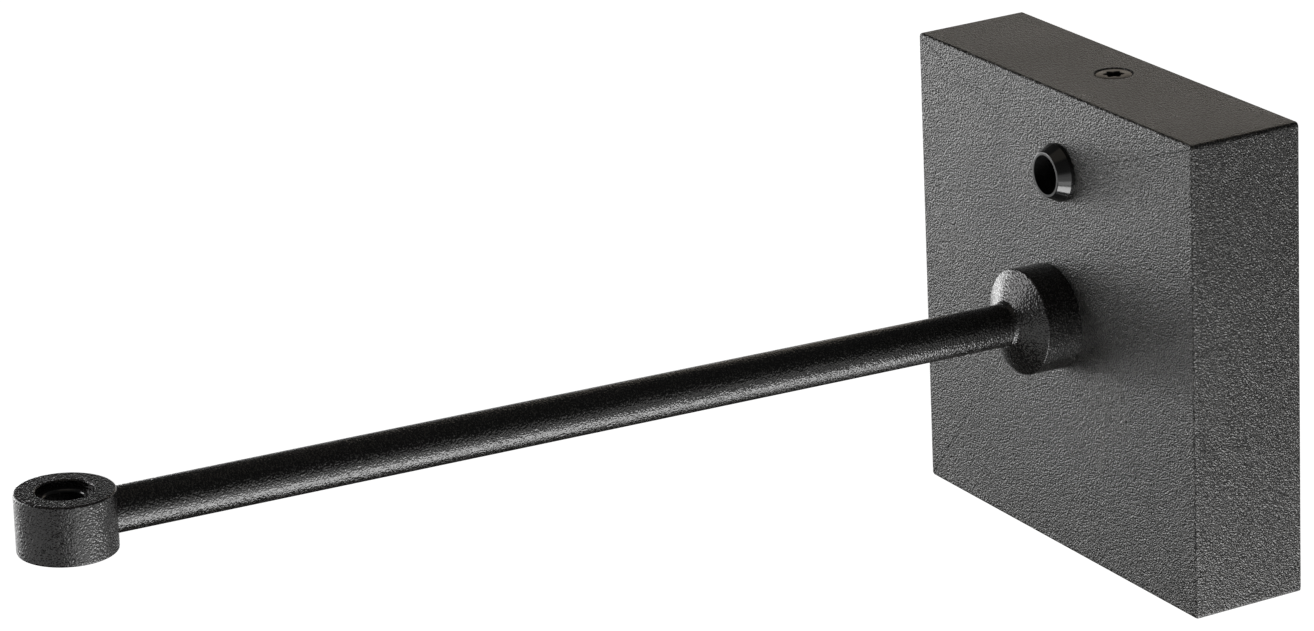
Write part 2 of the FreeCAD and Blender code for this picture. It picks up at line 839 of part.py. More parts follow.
def make_earth_nut():
    """Nut on the earth stud."""
    front = PLATE_FRONT - earth_washer_thickness - earth_nut_thickness
    base = point(EARTH_X, front, earth_height)
    hole_diameter = earth_stud_diameter + 2 * thread_play
    return hex_nut(base, earth_nut_across_flats, hole_diameter, earth_nut_thickness)


def strap_screw_places():
    """Screw places of the cord clamp on the wall plate, with their hole diameter."""
    bridge_side = cord_diameter / 2 + strap_thickness
    reach = bridge_side + strap_bend_round + strap_head_room + strap_head_diameter / 2
    diameter = strap_screw_diameter + 2 * thread_play
    places = []
    for side in (-1, 1):
        place = point(CORD_CLAMP_X + side * reach, PLATE_FRONT, cord_clamp_height)
        places.append((place, diameter))
    return places


def make_cord_clamp():
    """Strap bent over the cord: two flat ears and a round-topped bridge."""
    inner = cord_diameter / 2
    outer = inner + strap_thickness
    rise = cord_diameter - cord_grip
    bottom = point(CORD_CLAMP_X, PLATE_FRONT, cord_clamp_height - strap_width / 2)
    left_screw = strap_screw_places()[0][0]
    far = CORD_CLAMP_X - left_screw.x + strap_head_diameter / 2 + strap_ear_margin
    corners = [
        (bottom + SIDE * -far, 0),
        (bottom + SIDE * -inner, strap_bend_round),
        (bottom + SIDE * -inner + OUT * rise, inner),
        (bottom + SIDE * inner + OUT * rise, inner),
        (bottom + SIDE * inner, strap_bend_round),
        (bottom + SIDE * far, 0),
        (bottom + SIDE * far + OUT * strap_thickness, 0),
        (bottom + SIDE * outer + OUT * strap_thickness, strap_bend_round),
        (bottom + SIDE * outer + OUT * (rise + strap_thickness), outer),
        (bottom + SIDE * -outer + OUT * (rise + strap_thickness), outer),
        (bottom + SIDE * -outer + OUT * strap_thickness, strap_bend_round),
        (bottom + SIDE * -far + OUT * strap_thickness, 0),
    ]
    strap = outline(corners).extrude(UP * strap_width)
    for place, diameter in strap_screw_places():
        strap = strap.cut(rod(place, OUT, diameter, strap_thickness))
    return strap


def make_cord_clamp_screws():
    """The cord clamp's two screws, ending inside the wall plate."""
    screws = []
    for place, _ in strap_screw_places():
        seat = place + OUT * strap_thickness
        screws.append(
            headed_screw(
                seat,
                strap_screw_diameter,
                strap_head_diameter,
                strap_head_height,
                strap_thickness + plate_thickness - fixing_tip_room,
            )
        )
    return Part.makeCompound(screws)


left_arm_place, right_arm_place = arm_screw_places()
left_way, middle_way, right_way = terminal_way_places()

pieces = {
    "canopy": make_canopy(),
    "wall_plate": make_wall_plate(),
    "top_press_nut": make_press_nut(UP),
    "bottom_press_nut": make_press_nut(DOWN),
    "top_cover_screw": make_cover_screw(UP),
    "bottom_cover_screw": make_cover_screw(DOWN),
    "arm_collar": make_arm_collar(),
    "arm_rod": make_arm_rod(),
    "end_ring": make_end_ring(),
    "ring_bushing": make_ring_bushing(),
    "cable_sleeve": make_cable_sleeve(),
    "sleeve_washer": make_sleeve_washer(),
    "sleeve_nut": make_sleeve_nut(),
    "arm_backing_plate": make_backing_plate(),
    "left_arm_washer": make_arm_washer(left_arm_place),
    "right_arm_washer": make_arm_washer(right_arm_place),
    "left_arm_screw": make_arm_screw(left_arm_place),
    "right_arm_screw": make_arm_screw(right_arm_place),
    "terminal_housing": make_terminal_housing(),
    "left_terminal_clamp": make_terminal_clamp(left_way),
    "middle_terminal_clamp": make_terminal_clamp(middle_way),
    "right_terminal_clamp": make_terminal_clamp(right_way),
    "terminal_screws": make_terminal_screws(),
    "terminal_fixing_screws": make_terminal_fixing_screws(),
    "earth_stud": make_earth_stud(),
    "earth_washer": make_earth_washer(),
    "earth_nut": make_earth_nut(),
    "cord_clamp": make_cord_clamp(),
    "cord_clamp_screws": make_cord_clamp_screws(),
}

os.makedirs("parts", exist_ok=True)
for name, shape in pieces.items():
    shape.exportStep("parts/" + name + ".step")
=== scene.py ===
"""Looks of a lamp wall bracket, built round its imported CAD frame, in metres.

A square black canopy stands against the wall. A straight round arm leaves its face from a
turned collar and ends in an upright ring with a glossy bushing. A glossy cable sleeve sits
above the arm, and a countersunk screw holds the canopy at its top and bottom.
"""

import json
import logging
import math
from dataclasses import dataclass, field
from enum import Enum
from typing import Sequence

import bmesh
import bpy
import numpy as np
from mathutils import Matrix, Vector


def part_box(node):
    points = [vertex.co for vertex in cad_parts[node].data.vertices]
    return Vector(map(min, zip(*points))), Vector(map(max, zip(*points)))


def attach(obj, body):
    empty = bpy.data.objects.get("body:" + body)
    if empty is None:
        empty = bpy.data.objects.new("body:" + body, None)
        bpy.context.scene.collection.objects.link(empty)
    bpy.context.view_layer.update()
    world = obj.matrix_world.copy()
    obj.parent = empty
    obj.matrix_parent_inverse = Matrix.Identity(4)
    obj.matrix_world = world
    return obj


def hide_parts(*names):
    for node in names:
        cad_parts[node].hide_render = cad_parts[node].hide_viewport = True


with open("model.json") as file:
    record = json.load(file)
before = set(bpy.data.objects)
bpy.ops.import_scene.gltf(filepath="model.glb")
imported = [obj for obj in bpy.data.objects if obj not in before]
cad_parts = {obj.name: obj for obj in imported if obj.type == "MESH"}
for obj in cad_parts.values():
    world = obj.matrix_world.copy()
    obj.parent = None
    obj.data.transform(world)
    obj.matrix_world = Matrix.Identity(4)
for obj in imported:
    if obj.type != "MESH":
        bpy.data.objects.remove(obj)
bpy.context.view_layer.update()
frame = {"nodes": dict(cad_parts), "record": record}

Array = np.ndarray
Triple = tuple[float, float, float]
Socket = bpy.types.NodeSocket
LOG = logging.getLogger("bracket")

# Directions and angles
SIDE = np.array([1.0, 0.0, 0.0])
INTO_WALL = np.array([0.0, 1.0, 0.0])
UP = np.array([0.0, 0.0, 1.0])
FULL_TURN = 2 * math.pi
SMOOTH_ANGLE = math.radians(32)
LEAST_HALF_ANGLE = 1e-3

# Distances below which points are one, and the margin beside a rounding
WELD = 1e-6
SAME_POINT = 1e-8
TINY = 1e-12
MARGIN = 0.00008

# Where the loops of a pierced flat face, a pierced cylinder and a plain wall lie
PATCH_SHARES = (0.0, 0.02, 0.25, 0.6, 0.97, 1.0)
ROUND_PATCH_SHARES = (0.0, 0.03, 0.3, 0.7, 1.0)
WALL_SHARES = (0.0, 1.0)

# Powder grain: the fine and wide layers' scales, the pimples' share and what shows as specks
FINE_SCALE = 1.4
PEEL_SCALE = 0.35
PIMPLE_SHARE = 0.6
SPECK_BAND = (0.54, 0.66)

# Handling marks and metal grain
PATCH_BAND = (0.35, 0.65)
PATCH_DETAIL = 3.0
METAL_FINE_SCALE = 4.0
METAL_DETAIL = 2.0

FULL_BAND = (0.0, 1.0)
WHITE = (1.0, 1.0, 1.0)
WARM = (1.13, 1.0, 0.83)


class Slot(Enum):
    """The record's material slots."""

    POWDER_COAT = "black_powder_coat"
    TURNED_COAT = "black_turned_coat"
    GLOSS_PLASTIC = "black_gloss_plastic"
    BLACK_NYLON = "black_nylon"
    WHITE_NYLON = "white_nylon"
    DARK_SCREW = "dark_screw"
    ZINC_SHEET = "zinc_sheet"
    ZINC_FITTINGS = "zinc_fittings"
    CLAMP_BRASS = "clamp_brass"


# Shader nodes


class NodeSheet:
    """Adds and joins the nodes of one material, world or group."""

    def __init__(self, tree: bpy.types.NodeTree) -> None:
        """Start on an empty tree."""
        self.tree = tree
        tree.nodes.clear()

    def add(self, kind: str, **values: object) -> bpy.types.Node:
        """Add a node.

        Args:
            kind: type name of the node.
            values: settings of the node, by name.

        Returns:
            The node.
        """
        node = self.tree.nodes.new(kind)
        for name, value in values.items():
            setattr(node, name, value)
        return node

    def join(self, source: Socket | float, target: Socket) -> None:
        """Link an output to an input, or give the input a number.

        Args:
            source: the output, or the number.
            target: the input.
        """
        if isinstance(source, (int, float)):
            target.default_value = source
        else:
            self.tree.links.new(source, target)

    def math(self, operation: str, first: Socket, second: Socket | float) -> Socket:
        """Combine two values.

        Args:
            operation: name of the Math node's operation.
            first: the first value's output.
            second: the second value's output, or a number.

        Returns:
            The result's output.
        """
        node = self.add("ShaderNodeMath", operation=operation)
        self.join(first, node.inputs[0])
        self.join(second, node.inputs[1])
        return node.outputs[0]

    def stretch(
        self, value: Socket, source: tuple[float, float], target: tuple[float, float]
    ) -> Socket:
        """Map a value's range onto another, held at its ends.

        Args:
            value: the output to map.
            source: the range that is used of it.
            target: what that range becomes.

        Returns:
            The mapped output.
        """
        node = self.add("ShaderNodeMapRange")
        self.join(value, node.inputs["Value"])
        ends = ("From Min", "From Max", "To Min", "To Max")
        for end, number in zip(ends, source + target):
            self.join(number, node.inputs[end])
        return node.outputs["Result"]

    def tint(self, mask: Socket, dark: Triple, light: Triple) -> Socket:
        """Colour between two others.

        Args:
            mask: where the second colour shows.
            dark: the first colour.
            light: the second colour.

        Returns:
            The colour's output.
        """
        node = self.add("ShaderNodeMix", data_type="RGBA")
        self.join(mask, node.inputs["Factor"])
        node.inputs["A"].default_value = (*dark, 1.0)
        node.inputs["B"].default_value = (*light, 1.0)
        return node.outputs["Result"]


def group_sheet(
    name: str, inputs: dict[str, float], outputs: Sequence[str]
) -> tuple[NodeSheet, bpy.types.Node, bpy.types.Node]:
    """Start a node group with a place input and number sockets.

    Args:
        name: the group's name.
        inputs: number inputs and their usual values.
        outputs: number outputs.

    Returns:
        The sheet, the group's input node and its output node.
    """
    tree = bpy.data.node_groups.new(name, "ShaderNodeTree")
    tree.interface.new_socket("Place", in_out="INPUT", socket_type="NodeSocketVector")
    for label, usual in inputs.items():
        socket = tree.interface.new_socket(
            label, in_out="INPUT", socket_type="NodeSocketFloat"
        )
        socket.default_value = usual
    for label in outputs:
        tree.interface.new_socket(label, in_out="OUTPUT", socket_type="NodeSocketFloat")
    sheet = NodeSheet(tree)
    return sheet, sheet.add("NodeGroupInput"), sheet.add("NodeGroupOutput")


def noise(sheet: NodeSheet, place: Socket, scale: Socket, detail: float) -> Socket:
    """Add a noise texture.

    Args:
        sheet: where the node goes.
        place: the point that is looked up.
        scale: features for each metre.
        detail: how many finer layers it has.

    Returns:
        The noise's value output, about 0.5 on average.
    """
    node = sheet.add("ShaderNodeTexNoise")
    sheet.join(place, node.inputs["Vector"])
    sheet.join(scale, node.inputs["Scale"])
    sheet.join(detail, node.inputs["Detail"])
    return node.outputs["Fac"]


def powder_grain_group() -> bpy.types.NodeTree:
    """Grain of a baked powder coat: fine pimples on a wider orange peel.

    Returns:
        A group that puts out a height and specks.
    """
    sheet, given, result = group_sheet(
        "Powder grain", {"Grains per metre": 2000.0, "Peel share": 0.4}, ["Height", "Specks"]
    )
    place, scale = given.outputs["Place"], given.outputs["Grains per metre"]
    pimples = sheet.add("ShaderNodeTexVoronoi", feature="SMOOTH_F1")
    sheet.join(place, pimples.inputs["Vector"])
    sheet.join(scale, pimples.inputs["Scale"])
    fine = noise(sheet, place, sheet.math("MULTIPLY", scale, FINE_SCALE), 0.0)
    peel = noise(sheet, place, sheet.math("MULTIPLY", scale, PEEL_SCALE), 1.0)
    pits = sheet.math("MULTIPLY", pimples.outputs[0], PIMPLE_SHARE)
    bumps = sheet.math("SUBTRACT", fine, pits)
    wide = sheet.math("MULTIPLY", peel, given.outputs["Peel share"])
    sheet.join(sheet.math("ADD", bumps, wide), result.inputs["Height"])
    sheet.join(sheet.stretch(fine, SPECK_BAND, FULL_BAND), result.inputs["Specks"])
    return sheet.tree


def handling_group() -> bpy.types.NodeTree:
    """Slow variation over a surface, from how it was coated and handled.

    Returns:
        A group that puts out patches.
    """
    sheet, given, result = group_sheet("Handling", {"Patches per metre": 40.0}, ["Patches"])
    place, scale = given.outputs["Place"], given.outputs["Patches per metre"]
    broad = noise(sheet, place, scale, PATCH_DETAIL)
    sheet.join(sheet.stretch(broad, PATCH_BAND, FULL_BAND), result.inputs["Patches"])
    return sheet.tree


def metal_grain_group() -> bpy.types.NodeTree:
    """Grain of plated or turned metal: small crystals over a slow cloudiness.

    Returns:
        A group that puts out a height and crystals.
    """
    sheet, given, result = group_sheet(
        "Metal grain", {"Crystals per metre": 900.0}, ["Height", "Crystals"]
    )
    place, scale = given.outputs["Place"], given.outputs["Crystals per metre"]
    cells = sheet.add("ShaderNodeTexVoronoi")
    sheet.join(place, cells.inputs["Vector"])
    sheet.join(scale, cells.inputs["Scale"])
    finer = sheet.math("MULTIPLY", scale, METAL_FINE_SCALE)
    fine = noise(sheet, place, finer, METAL_DETAIL)
    sheet.join(fine, result.inputs["Height"])
    shade = sheet.add("ShaderNodeSeparateColor")
    sheet.join(cells.outputs["Color"], shade.inputs[0])
    crystals = sheet.math("MULTIPLY", shade.outputs[0], fine)
    sheet.join(crystals, result.inputs["Crystals"])
    return sheet.tree


def surface_sheet(name: str) -> tuple[bpy.types.Material, NodeSheet, Socket]:
    """Start a material.

    Args:
        name: the material's name.

    Returns:
        The material, its sheet and the input that takes its surface shader.
    """
    material = bpy.data.materials.new(name)
    material.use_nodes = True
    sheet = NodeSheet(material.node_tree)
    output = sheet.add("ShaderNodeOutputMaterial")
    return material, sheet, output.inputs["Surface"]


class Effects:
    """The shared node groups, each built once."""

    def __init__(self) -> None:
        """Build the groups."""
        self.grain = powder_grain_group()
        self.handling = handling_group()
        self.metal = metal_grain_group()


# Finishes


@dataclass(frozen=True)
class Finish:
    """What every finish has: a name, its record slot, its colours and its roughness."""

    name: str
    slot: Slot
    dark: Triple
    light: Triple
    smooth: float
    rough: float

    def sheet(self) -> tuple[bpy.types.Material, NodeSheet, bpy.types.Node, Socket]:
        """Start the finish's material.

        Returns:
            The material, its sheet, its shader and the surface's own coordinates.
        """
        material, sheet, surface = surface_sheet(self.name)
        shader = sheet.add("ShaderNodeBsdfPrincipled")
        sheet.join(shader.outputs[0], surface)
        place = sheet.add("ShaderNodeTexCoord").outputs["Object"]
        return material, sheet, shader, place

    def shade(
        self,
        sheet: NodeSheet,
        shader: bpy.types.Node,
        tone: Socket,
        gloss: Socket,
        reach: float,
    ) -> None:
        """Give the shader its colour and its roughness.

        Args:
            sheet: the material's sheet.
            shader: the surface shader.
            tone: where the light colour shows.
            gloss: where the surface is rougher.
            reach: the value of gloss at which it is roughest.
        """
        sheet.join(sheet.tint(tone, self.dark, self.light), shader.inputs["Base Color"])
        rough = sheet.stretch(gloss, (0.0, reach), (self.smooth, self.rough))
        sheet.join(rough, shader.inputs["Roughness"])

    def effect(
        self,
        sheet: NodeSheet,
        tree: bpy.types.NodeTree,
        place: Socket,
        **values: float,
    ) -> bpy.types.Node:
        """Place a shared group.

        Args:
            sheet: the material's sheet.
            tree: the group.
            place: the surface's coordinates.
            values: the group's inputs, with underscores for spaces.

        Returns:
            The group's node.
        """
        node = sheet.add("ShaderNodeGroup", node_tree=tree)
        sheet.join(place, node.inputs["Place"])
        for name, value in values.items():
            sheet.join(value, node.inputs[name.replace("_", " ")])
        return node

    def emboss(
        self,
        sheet: NodeSheet,
        shader: bpy.types.Node,
        height: Socket,
        depth: float,
        strength: float,
    ) -> None:
        """Turn a height into the shader's normal.

        Args:
            sheet: the material's sheet.
            shader: the surface shader.
            height: the height's output.
            depth: how far the height reaches, in metres.
            strength: how much of it shows.
        """
        bump = sheet.add("ShaderNodeBump")
        sheet.join(depth, bump.inputs["Distance"])
        sheet.join(strength, bump.inputs["Strength"])
        sheet.join(height, bump.inputs["Height"])
        sheet.join(bump.outputs[0], shader.inputs["Normal"])


@dataclass(frozen=True)
class PowderCoat(Finish):
    """Baked black powder coat with a fine grain."""

    grains: float = 2600.0
    peel: float = 0.3
    depth: float = 0.0002
    strength: float = 1.0
    specular: float = 0.5
    patch_share: float = 0.6

    def material(self, effects: Effects) -> bpy.types.Material:
        """Build the coat: grain in its normal, specks and patches in colour and roughness.

        Args:
            effects: the shared node groups.

        Returns:
            The material.
        """
        material, sheet, shader, place = self.sheet()
        grain = self.effect(
            sheet, effects.grain, place, Grains_per_metre=self.grains, Peel_share=self.peel
        )
        patches = self.effect(sheet, effects.handling, place).outputs["Patches"]
        specks = grain.outputs["Specks"]
        marks = sheet.math("MULTIPLY", patches, self.patch_share)
        uneven = sheet.math("ADD", marks, specks)
        self.shade(sheet, shader, specks, uneven, 1.0 + self.patch_share)
        sheet.join(self.specular, shader.inputs["Specular IOR Level"])
        self.emboss(sheet, shader, grain.outputs["Height"], self.depth, self.strength)
        return material


@dataclass(frozen=True)
class Moulding(Finish):
    """Moulded plastic, glossy or semi-matt, with faint flow marks."""

    flow_marks: float = 220.0
    ripple: float = 0.00001
    strength: float = 0.3

    def material(self, effects: Effects) -> bpy.types.Material:
        """Build the moulding: patches in colour and roughness, a faint ripple in its normal.

        Args:
            effects: the shared node groups.

        Returns:
            The material.
        """
        material, sheet, shader, place = self.sheet()
        handling = self.effect(
            sheet, effects.handling, place, Patches_per_metre=self.flow_marks
        )
        patches = handling.outputs["Patches"]
        self.shade(sheet, shader, patches, patches, 1.0)
        self.emboss(sheet, shader, patches, self.ripple, self.strength)
        return material


@dataclass(frozen=True)
class Metal(Finish):
    """Bare, plated or blackened metal with a fine grain."""

    crystals: float = 900.0
    crystal_reach: float = 0.6
    depth: float = 0.00001
    strength: float = 0.4

    def material(self, effects: Effects) -> bpy.types.Material:
        """Build the metal: crystals in its colour and roughness, fine grain in its normal.

        Args:
            effects: the shared node groups.

        Returns:
            The material.
        """
        material, sheet, shader, place = self.sheet()
        grain = self.effect(sheet, effects.metal, place, Crystals_per_metre=self.crystals)
        crystals = grain.outputs["Crystals"]
        self.shade(sheet, shader, crystals, crystals, self.crystal_reach)
        sheet.join(1.0, shader.inputs["Metallic"])
        self.emboss(sheet, shader, grain.outputs["Height"], self.depth, self.strength)
        return material


Coating = PowderCoat | Moulding | Metal

PRESSED_COAT = PowderCoat(
    "pressed_coat", Slot.POWDER_COAT, (0.005, 0.0049, 0.0046), (0.075, 0.0725, 0.068), 0.27, 0.38
)
TURNED_COAT = PowderCoat(
    "turned_coat",
    Slot.TURNED_COAT,
    (0.005, 0.0049, 0.0047),
    (0.03, 0.029, 0.0275),
    0.19,
    0.27,
    grains=2300.0,
    depth=0.0001,
)
GLOSS_PLASTIC = Moulding(
    "gloss_plastic", Slot.GLOSS_PLASTIC, (0.006, 0.006, 0.006), (0.01, 0.01, 0.01), 0.12, 0.2
)
BLACK_NYLON = Moulding(
    "black_moulding", Slot.BLACK_NYLON, (0.02, 0.02, 0.02), (0.032, 0.032, 0.032), 0.42, 0.55
)
WHITE_NYLON = Moulding(
    "white_moulding", Slot.WHITE_NYLON, (0.7, 0.69, 0.65), (0.78, 0.77, 0.74), 0.38, 0.5
)
DARK_NICKEL = Metal(
    "dark_nickel", Slot.DARK_SCREW, (0.1, 0.095, 0.09), (0.26, 0.245, 0.23), 0.24, 0.38
)
ZINC_SHEET = Metal(
    "zinc_sheet_metal",
    Slot.ZINC_SHEET,
    (0.5, 0.51, 0.53),
    (0.66, 0.67, 0.69),
    0.3,
    0.46,
    crystals=500.0,
)
ZINC_FITTINGS = Metal(
    "zinc_fittings_metal", Slot.ZINC_FITTINGS, (0.5, 0.51, 0.53), (0.68, 0.69, 0.71), 0.22, 0.36
)
CLAMP_BRASS = Metal(
    "brass_metal", Slot.CLAMP_BRASS, (0.62, 0.43, 0.19), (0.83, 0.62, 0.31), 0.22, 0.36
)


class Finishes:
    """Materials, each built once from its finish."""

    def __init__(self) -> None:
        """Start with the shared effects and no material."""
        self.effects = Effects()
        self.built: dict[str, bpy.types.Material] = {}

    def material(self, finish: Coating) -> bpy.types.Material:
        """The material of a finish.

        Args:
            finish: the finish.

        Returns:
            Its material, built at the first call.
        """
        if finish.name not in self.built:
            self.built[finish.name] = finish.material(self.effects)
        return self.built[finish.name]


# Shapes


def unit(rows: Array) -> Array:
    """Rows of vectors, each divided by its length."""
    length = np.linalg.norm(rows, axis=-1, keepdims=True)
    return rows / np.maximum(length, TINY)


def softened(corners: Sequence[Triple], closed: bool = False, steps: int = 8) -> Array:
    """Profile through corners, each rounded by an exact arc.

    An arc's centre lies on the line that halves its corner, rounding / sin(half angle) away.
    Its points are the centre plus a blend of the two radii to the tangent points, weighted
    sin((1 - t) a) / sin(a) and sin(t a) / sin(a), where a is the arc's angle.

    Args:
        corners: places along the axis, radii and roundings.
        closed: whether the profile runs back to its first corner.
        steps: faces across each rounding.

    Returns:
        Points of (along, radius).
    """
    table = np.array(corners, float)
    place, rounding = table[:, :2], table[:, 2]
    back = unit(np.roll(place, 1, axis=0) - place)
    ahead = unit(np.roll(place, -1, axis=0) - place)
    half = np.arccos(np.clip((back * ahead).sum(axis=1), -1, 1)) / 2
    half = np.clip(half, LEAST_HALF_ANGLE, math.pi / 2 - LEAST_HALF_ANGLE)
    centre = place + unit(back + ahead) * (rounding / np.sin(half))[:, None]
    reach = (rounding / np.tan(half))[:, None]
    first = place + back * reach - centre
    last = place + ahead * reach - centre
    turn = (math.pi - 2 * half)[:, None]
    share = np.linspace(0, 1, steps + 1)[None, :]
    from_first = np.sin((1 - share) * turn) / np.sin(turn)
    from_last = np.sin(share * turn) / np.sin(turn)
    arcs = (
        centre[:, None]
        + from_first[..., None] * first[:, None]
        + from_last[..., None] * last[:, None]
    )
    line = arcs.reshape(-1, 2)
    if closed:
        line = np.concatenate([line, line[:1]])
    return supported(distinct(line))


def distinct(line: Array) -> Array:
    """A line without points that repeat the one before."""
    step = np.linalg.norm(np.diff(line, axis=0), axis=1)
    return line[np.concatenate([[True], step > SAME_POINT])]


def supported(line: Array, margin: float = MARGIN) -> Array:
    """Add a point near both ends of each longer run, so that shading stays in the rounds.

    Args:
        line: points of a profile.
        margin: how far from a run's ends the new points lie.

    Returns:
        The line with its new points, at the shares 0, margin / length and 1 - margin / length
        of each run that is over four margins long.
    """
    run = np.diff(line, axis=0)
    length = np.linalg.norm(run, axis=1)
    share = np.where(length > 4 * margin, margin / length, 0)
    marks = np.stack([np.zeros_like(share), share, 1 - share], axis=1)
    points = line[:-1, None] + run[:, None] * marks[..., None]
    return distinct(np.concatenate([points.reshape(-1, 2), line[-1:]]))


def blend_loops(first: Array, last: Array, shares: Sequence[float]) -> Array:
    """Grid of loops between two loops of equal count.

    Each loop is (1 - share) * first + share * last.

    Args:
        first: points of one border.
        last: points of the other border.
        shares: the loops' places between them.

    Returns:
        A grid of points, one row for each share.
    """
    share = np.array(shares, float)[:, None, None]
    return (1 - share) * first[None] + share * last[None]


@dataclass(frozen=True)
class Axis:
    """A turning axis: where it starts, where it runs, and the side that angles count from."""

    start: Array
    along: Array
    side: Array

    @property
    def across(self) -> Array:
        """The direction a quarter turn on from the side."""
        return np.cross(self.along, self.side)

    def places(self, along: Array, radius: Array, angle: Array) -> Array:
        """Points about the axis.

        Each is start + along * distance + radius * (cos(angle) side + sin(angle) across).

        Args:
            along: distances along the axis.
            radius: distances from the axis.
            angle: angles about it, in radians.

        Returns:
            An array of points, as many as the three arrays have together.
        """
        along, radius, angle = np.broadcast_arrays(along, radius, angle)
        return (
            self.start
            + along[..., None] * self.along
            + (radius * np.cos(angle))[..., None] * self.side
            + (radius * np.sin(angle))[..., None] * self.across
        )

    def turned(self, profile: Array, angles: Array) -> Array:
        """Surface that a profile of (along, radius) sweeps through some angles."""
        return self.places(profile[:, :1], profile[:, 1:], angles[None])


def full_turn(count: int) -> Array:
    """Angles once round, with the first repeated at the end."""
    return np.linspace(0, FULL_TURN, count + 1)


def hole_loop(outline: Array, middle: Sequence[float], radius: float) -> Array:
    """Circle whose points lie in the directions of an outline's points.

    Args:
        outline: rows of (side, across) places round the hole.
        middle: the hole's middle.
        radius: the hole's radius.

    Returns:
        middle + radius * unit(outline - middle).
    """
    centre = np.array(middle, float)
    return centre + radius * unit(outline - centre)


def spread(start: Sequence[float], end: Sequence[float], count: int) -> Array:
    """Points at even steps from a start to an end, both included."""
    share = np.linspace(0, 1, count + 1)[:, None]
    return (1 - share) * np.array(start, float) + share * np.array(end, float)


def upright_plane(plane: Array, depth: float | Array) -> Array:
    """Places of (x, z) at a depth behind or before the wall, as points."""
    level = np.broadcast_to(depth, plane.shape[:-1])
    return np.stack([plane[..., 0], level, plane[..., 1]], axis=-1)


def quads(rows: int, columns: int, start: int = 0) -> Array:
    """Faces of a grid of points: every four neighbours are one.

    Args:
        rows: the grid's rows.
        columns: the grid's columns.
        start: the number of its first point.

    Returns:
        Rows of four point numbers.
    """
    index = np.arange(rows * columns).reshape(rows, columns) + start
    corners = [index[:-1, :-1], index[1:, :-1], index[1:, 1:], index[:-1, 1:]]
    return np.stack(corners, axis=-1).reshape(-1, 4)


def closed_loop(*runs: Array) -> Array:
    """One closed loop from runs that meet end to end."""
    return distinct(np.concatenate(runs))


class Workshop:
    """Makes pieces and dresses CAD nodes."""

    def __init__(self) -> None:
        """Start with the finishes."""
        self.finishes = Finishes()

    def mesh(self, name: str, grids: Sequence[Array]) -> bpy.types.Mesh:
        """Join point grids to one closed mesh.

        Every four neighbours of a grid are one face. Points that coincide, at seams, poles and
        shared borders, are made one, and the faces are turned outwards.

        Args:
            name: the mesh's name.
            grids: arrays of rows by columns of points.

        Returns:
            The mesh, smooth except across sharp edges.
        """
        points, faces, count = [], [], 0
        for grid in grids:
            rows, columns = grid.shape[:2]
            faces.append(quads(rows, columns, count))
            points.append(grid.reshape(-1, 3))
            count += rows * columns
        mesh = bpy.data.meshes.new(name)
        mesh.from_pydata(np.concatenate(points).tolist(), [], np.concatenate(faces).tolist())
        work = bmesh.new()
        work.from_mesh(mesh)
        bmesh.ops.remove_doubles(work, verts=work.verts, dist=WELD)
        bmesh.ops.recalc_face_normals(work, faces=work.faces)
        open_edges = sum(not edge.is_manifold for edge in work.edges)
        work.to_mesh(mesh)
        work.free()
        if open_edges:
            LOG.warning("%s has %d open edges", name, open_edges)
        mesh.polygons.foreach_set("use_smooth", np.ones(len(mesh.polygons), bool))
        mesh.set_sharp_from_angle(angle=SMOOTH_ANGLE)
        return mesh

    def piece(self, name: str, grids: Sequence[Array], finish: Coating, node: str) -> None:
        """Make a piece that stands for a CAD node.

        Args:
            name: the piece's name.
            grids: its surfaces.
            finish: its finish.
            node: the CAD node it stands for.
        """
        mesh = self.mesh(name, grids)
        mesh.materials.append(self.finishes.material(finish))
        made = bpy.data.objects.new(name, mesh)
        bpy.context.scene.collection.objects.link(made)
        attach(made, "root")
        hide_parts(node)
        LOG.info("%s: %d faces, for %s", name, len(mesh.polygons), node)

    def dress(self, node: str, finish: Coating) -> None:
        """Give a CAD node a finish.

        Args:
            node: the CAD node.
            finish: its finish.
        """
        carried = frame["nodes"][node]
        carried.data.materials.clear()
        carried.data.materials.append(self.finishes.material(finish))
        LOG.info("%s: dressed in %s", node, finish.name)


# The frame's own places


def middle_of(node: str) -> Array:
    """Middle of a CAD node's box."""
    low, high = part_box(node)
    return (np.array(low) + np.array(high)) / 2


def width_of(node: str) -> float:
    """Size of a CAD node along X."""
    low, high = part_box(node)
    return high.x - low.x


def mount_named(name: str) -> dict:
    """One of the record's mounts."""
    return next(m for m in frame["record"]["mounts"] if m["name"] == name)


# Canopy


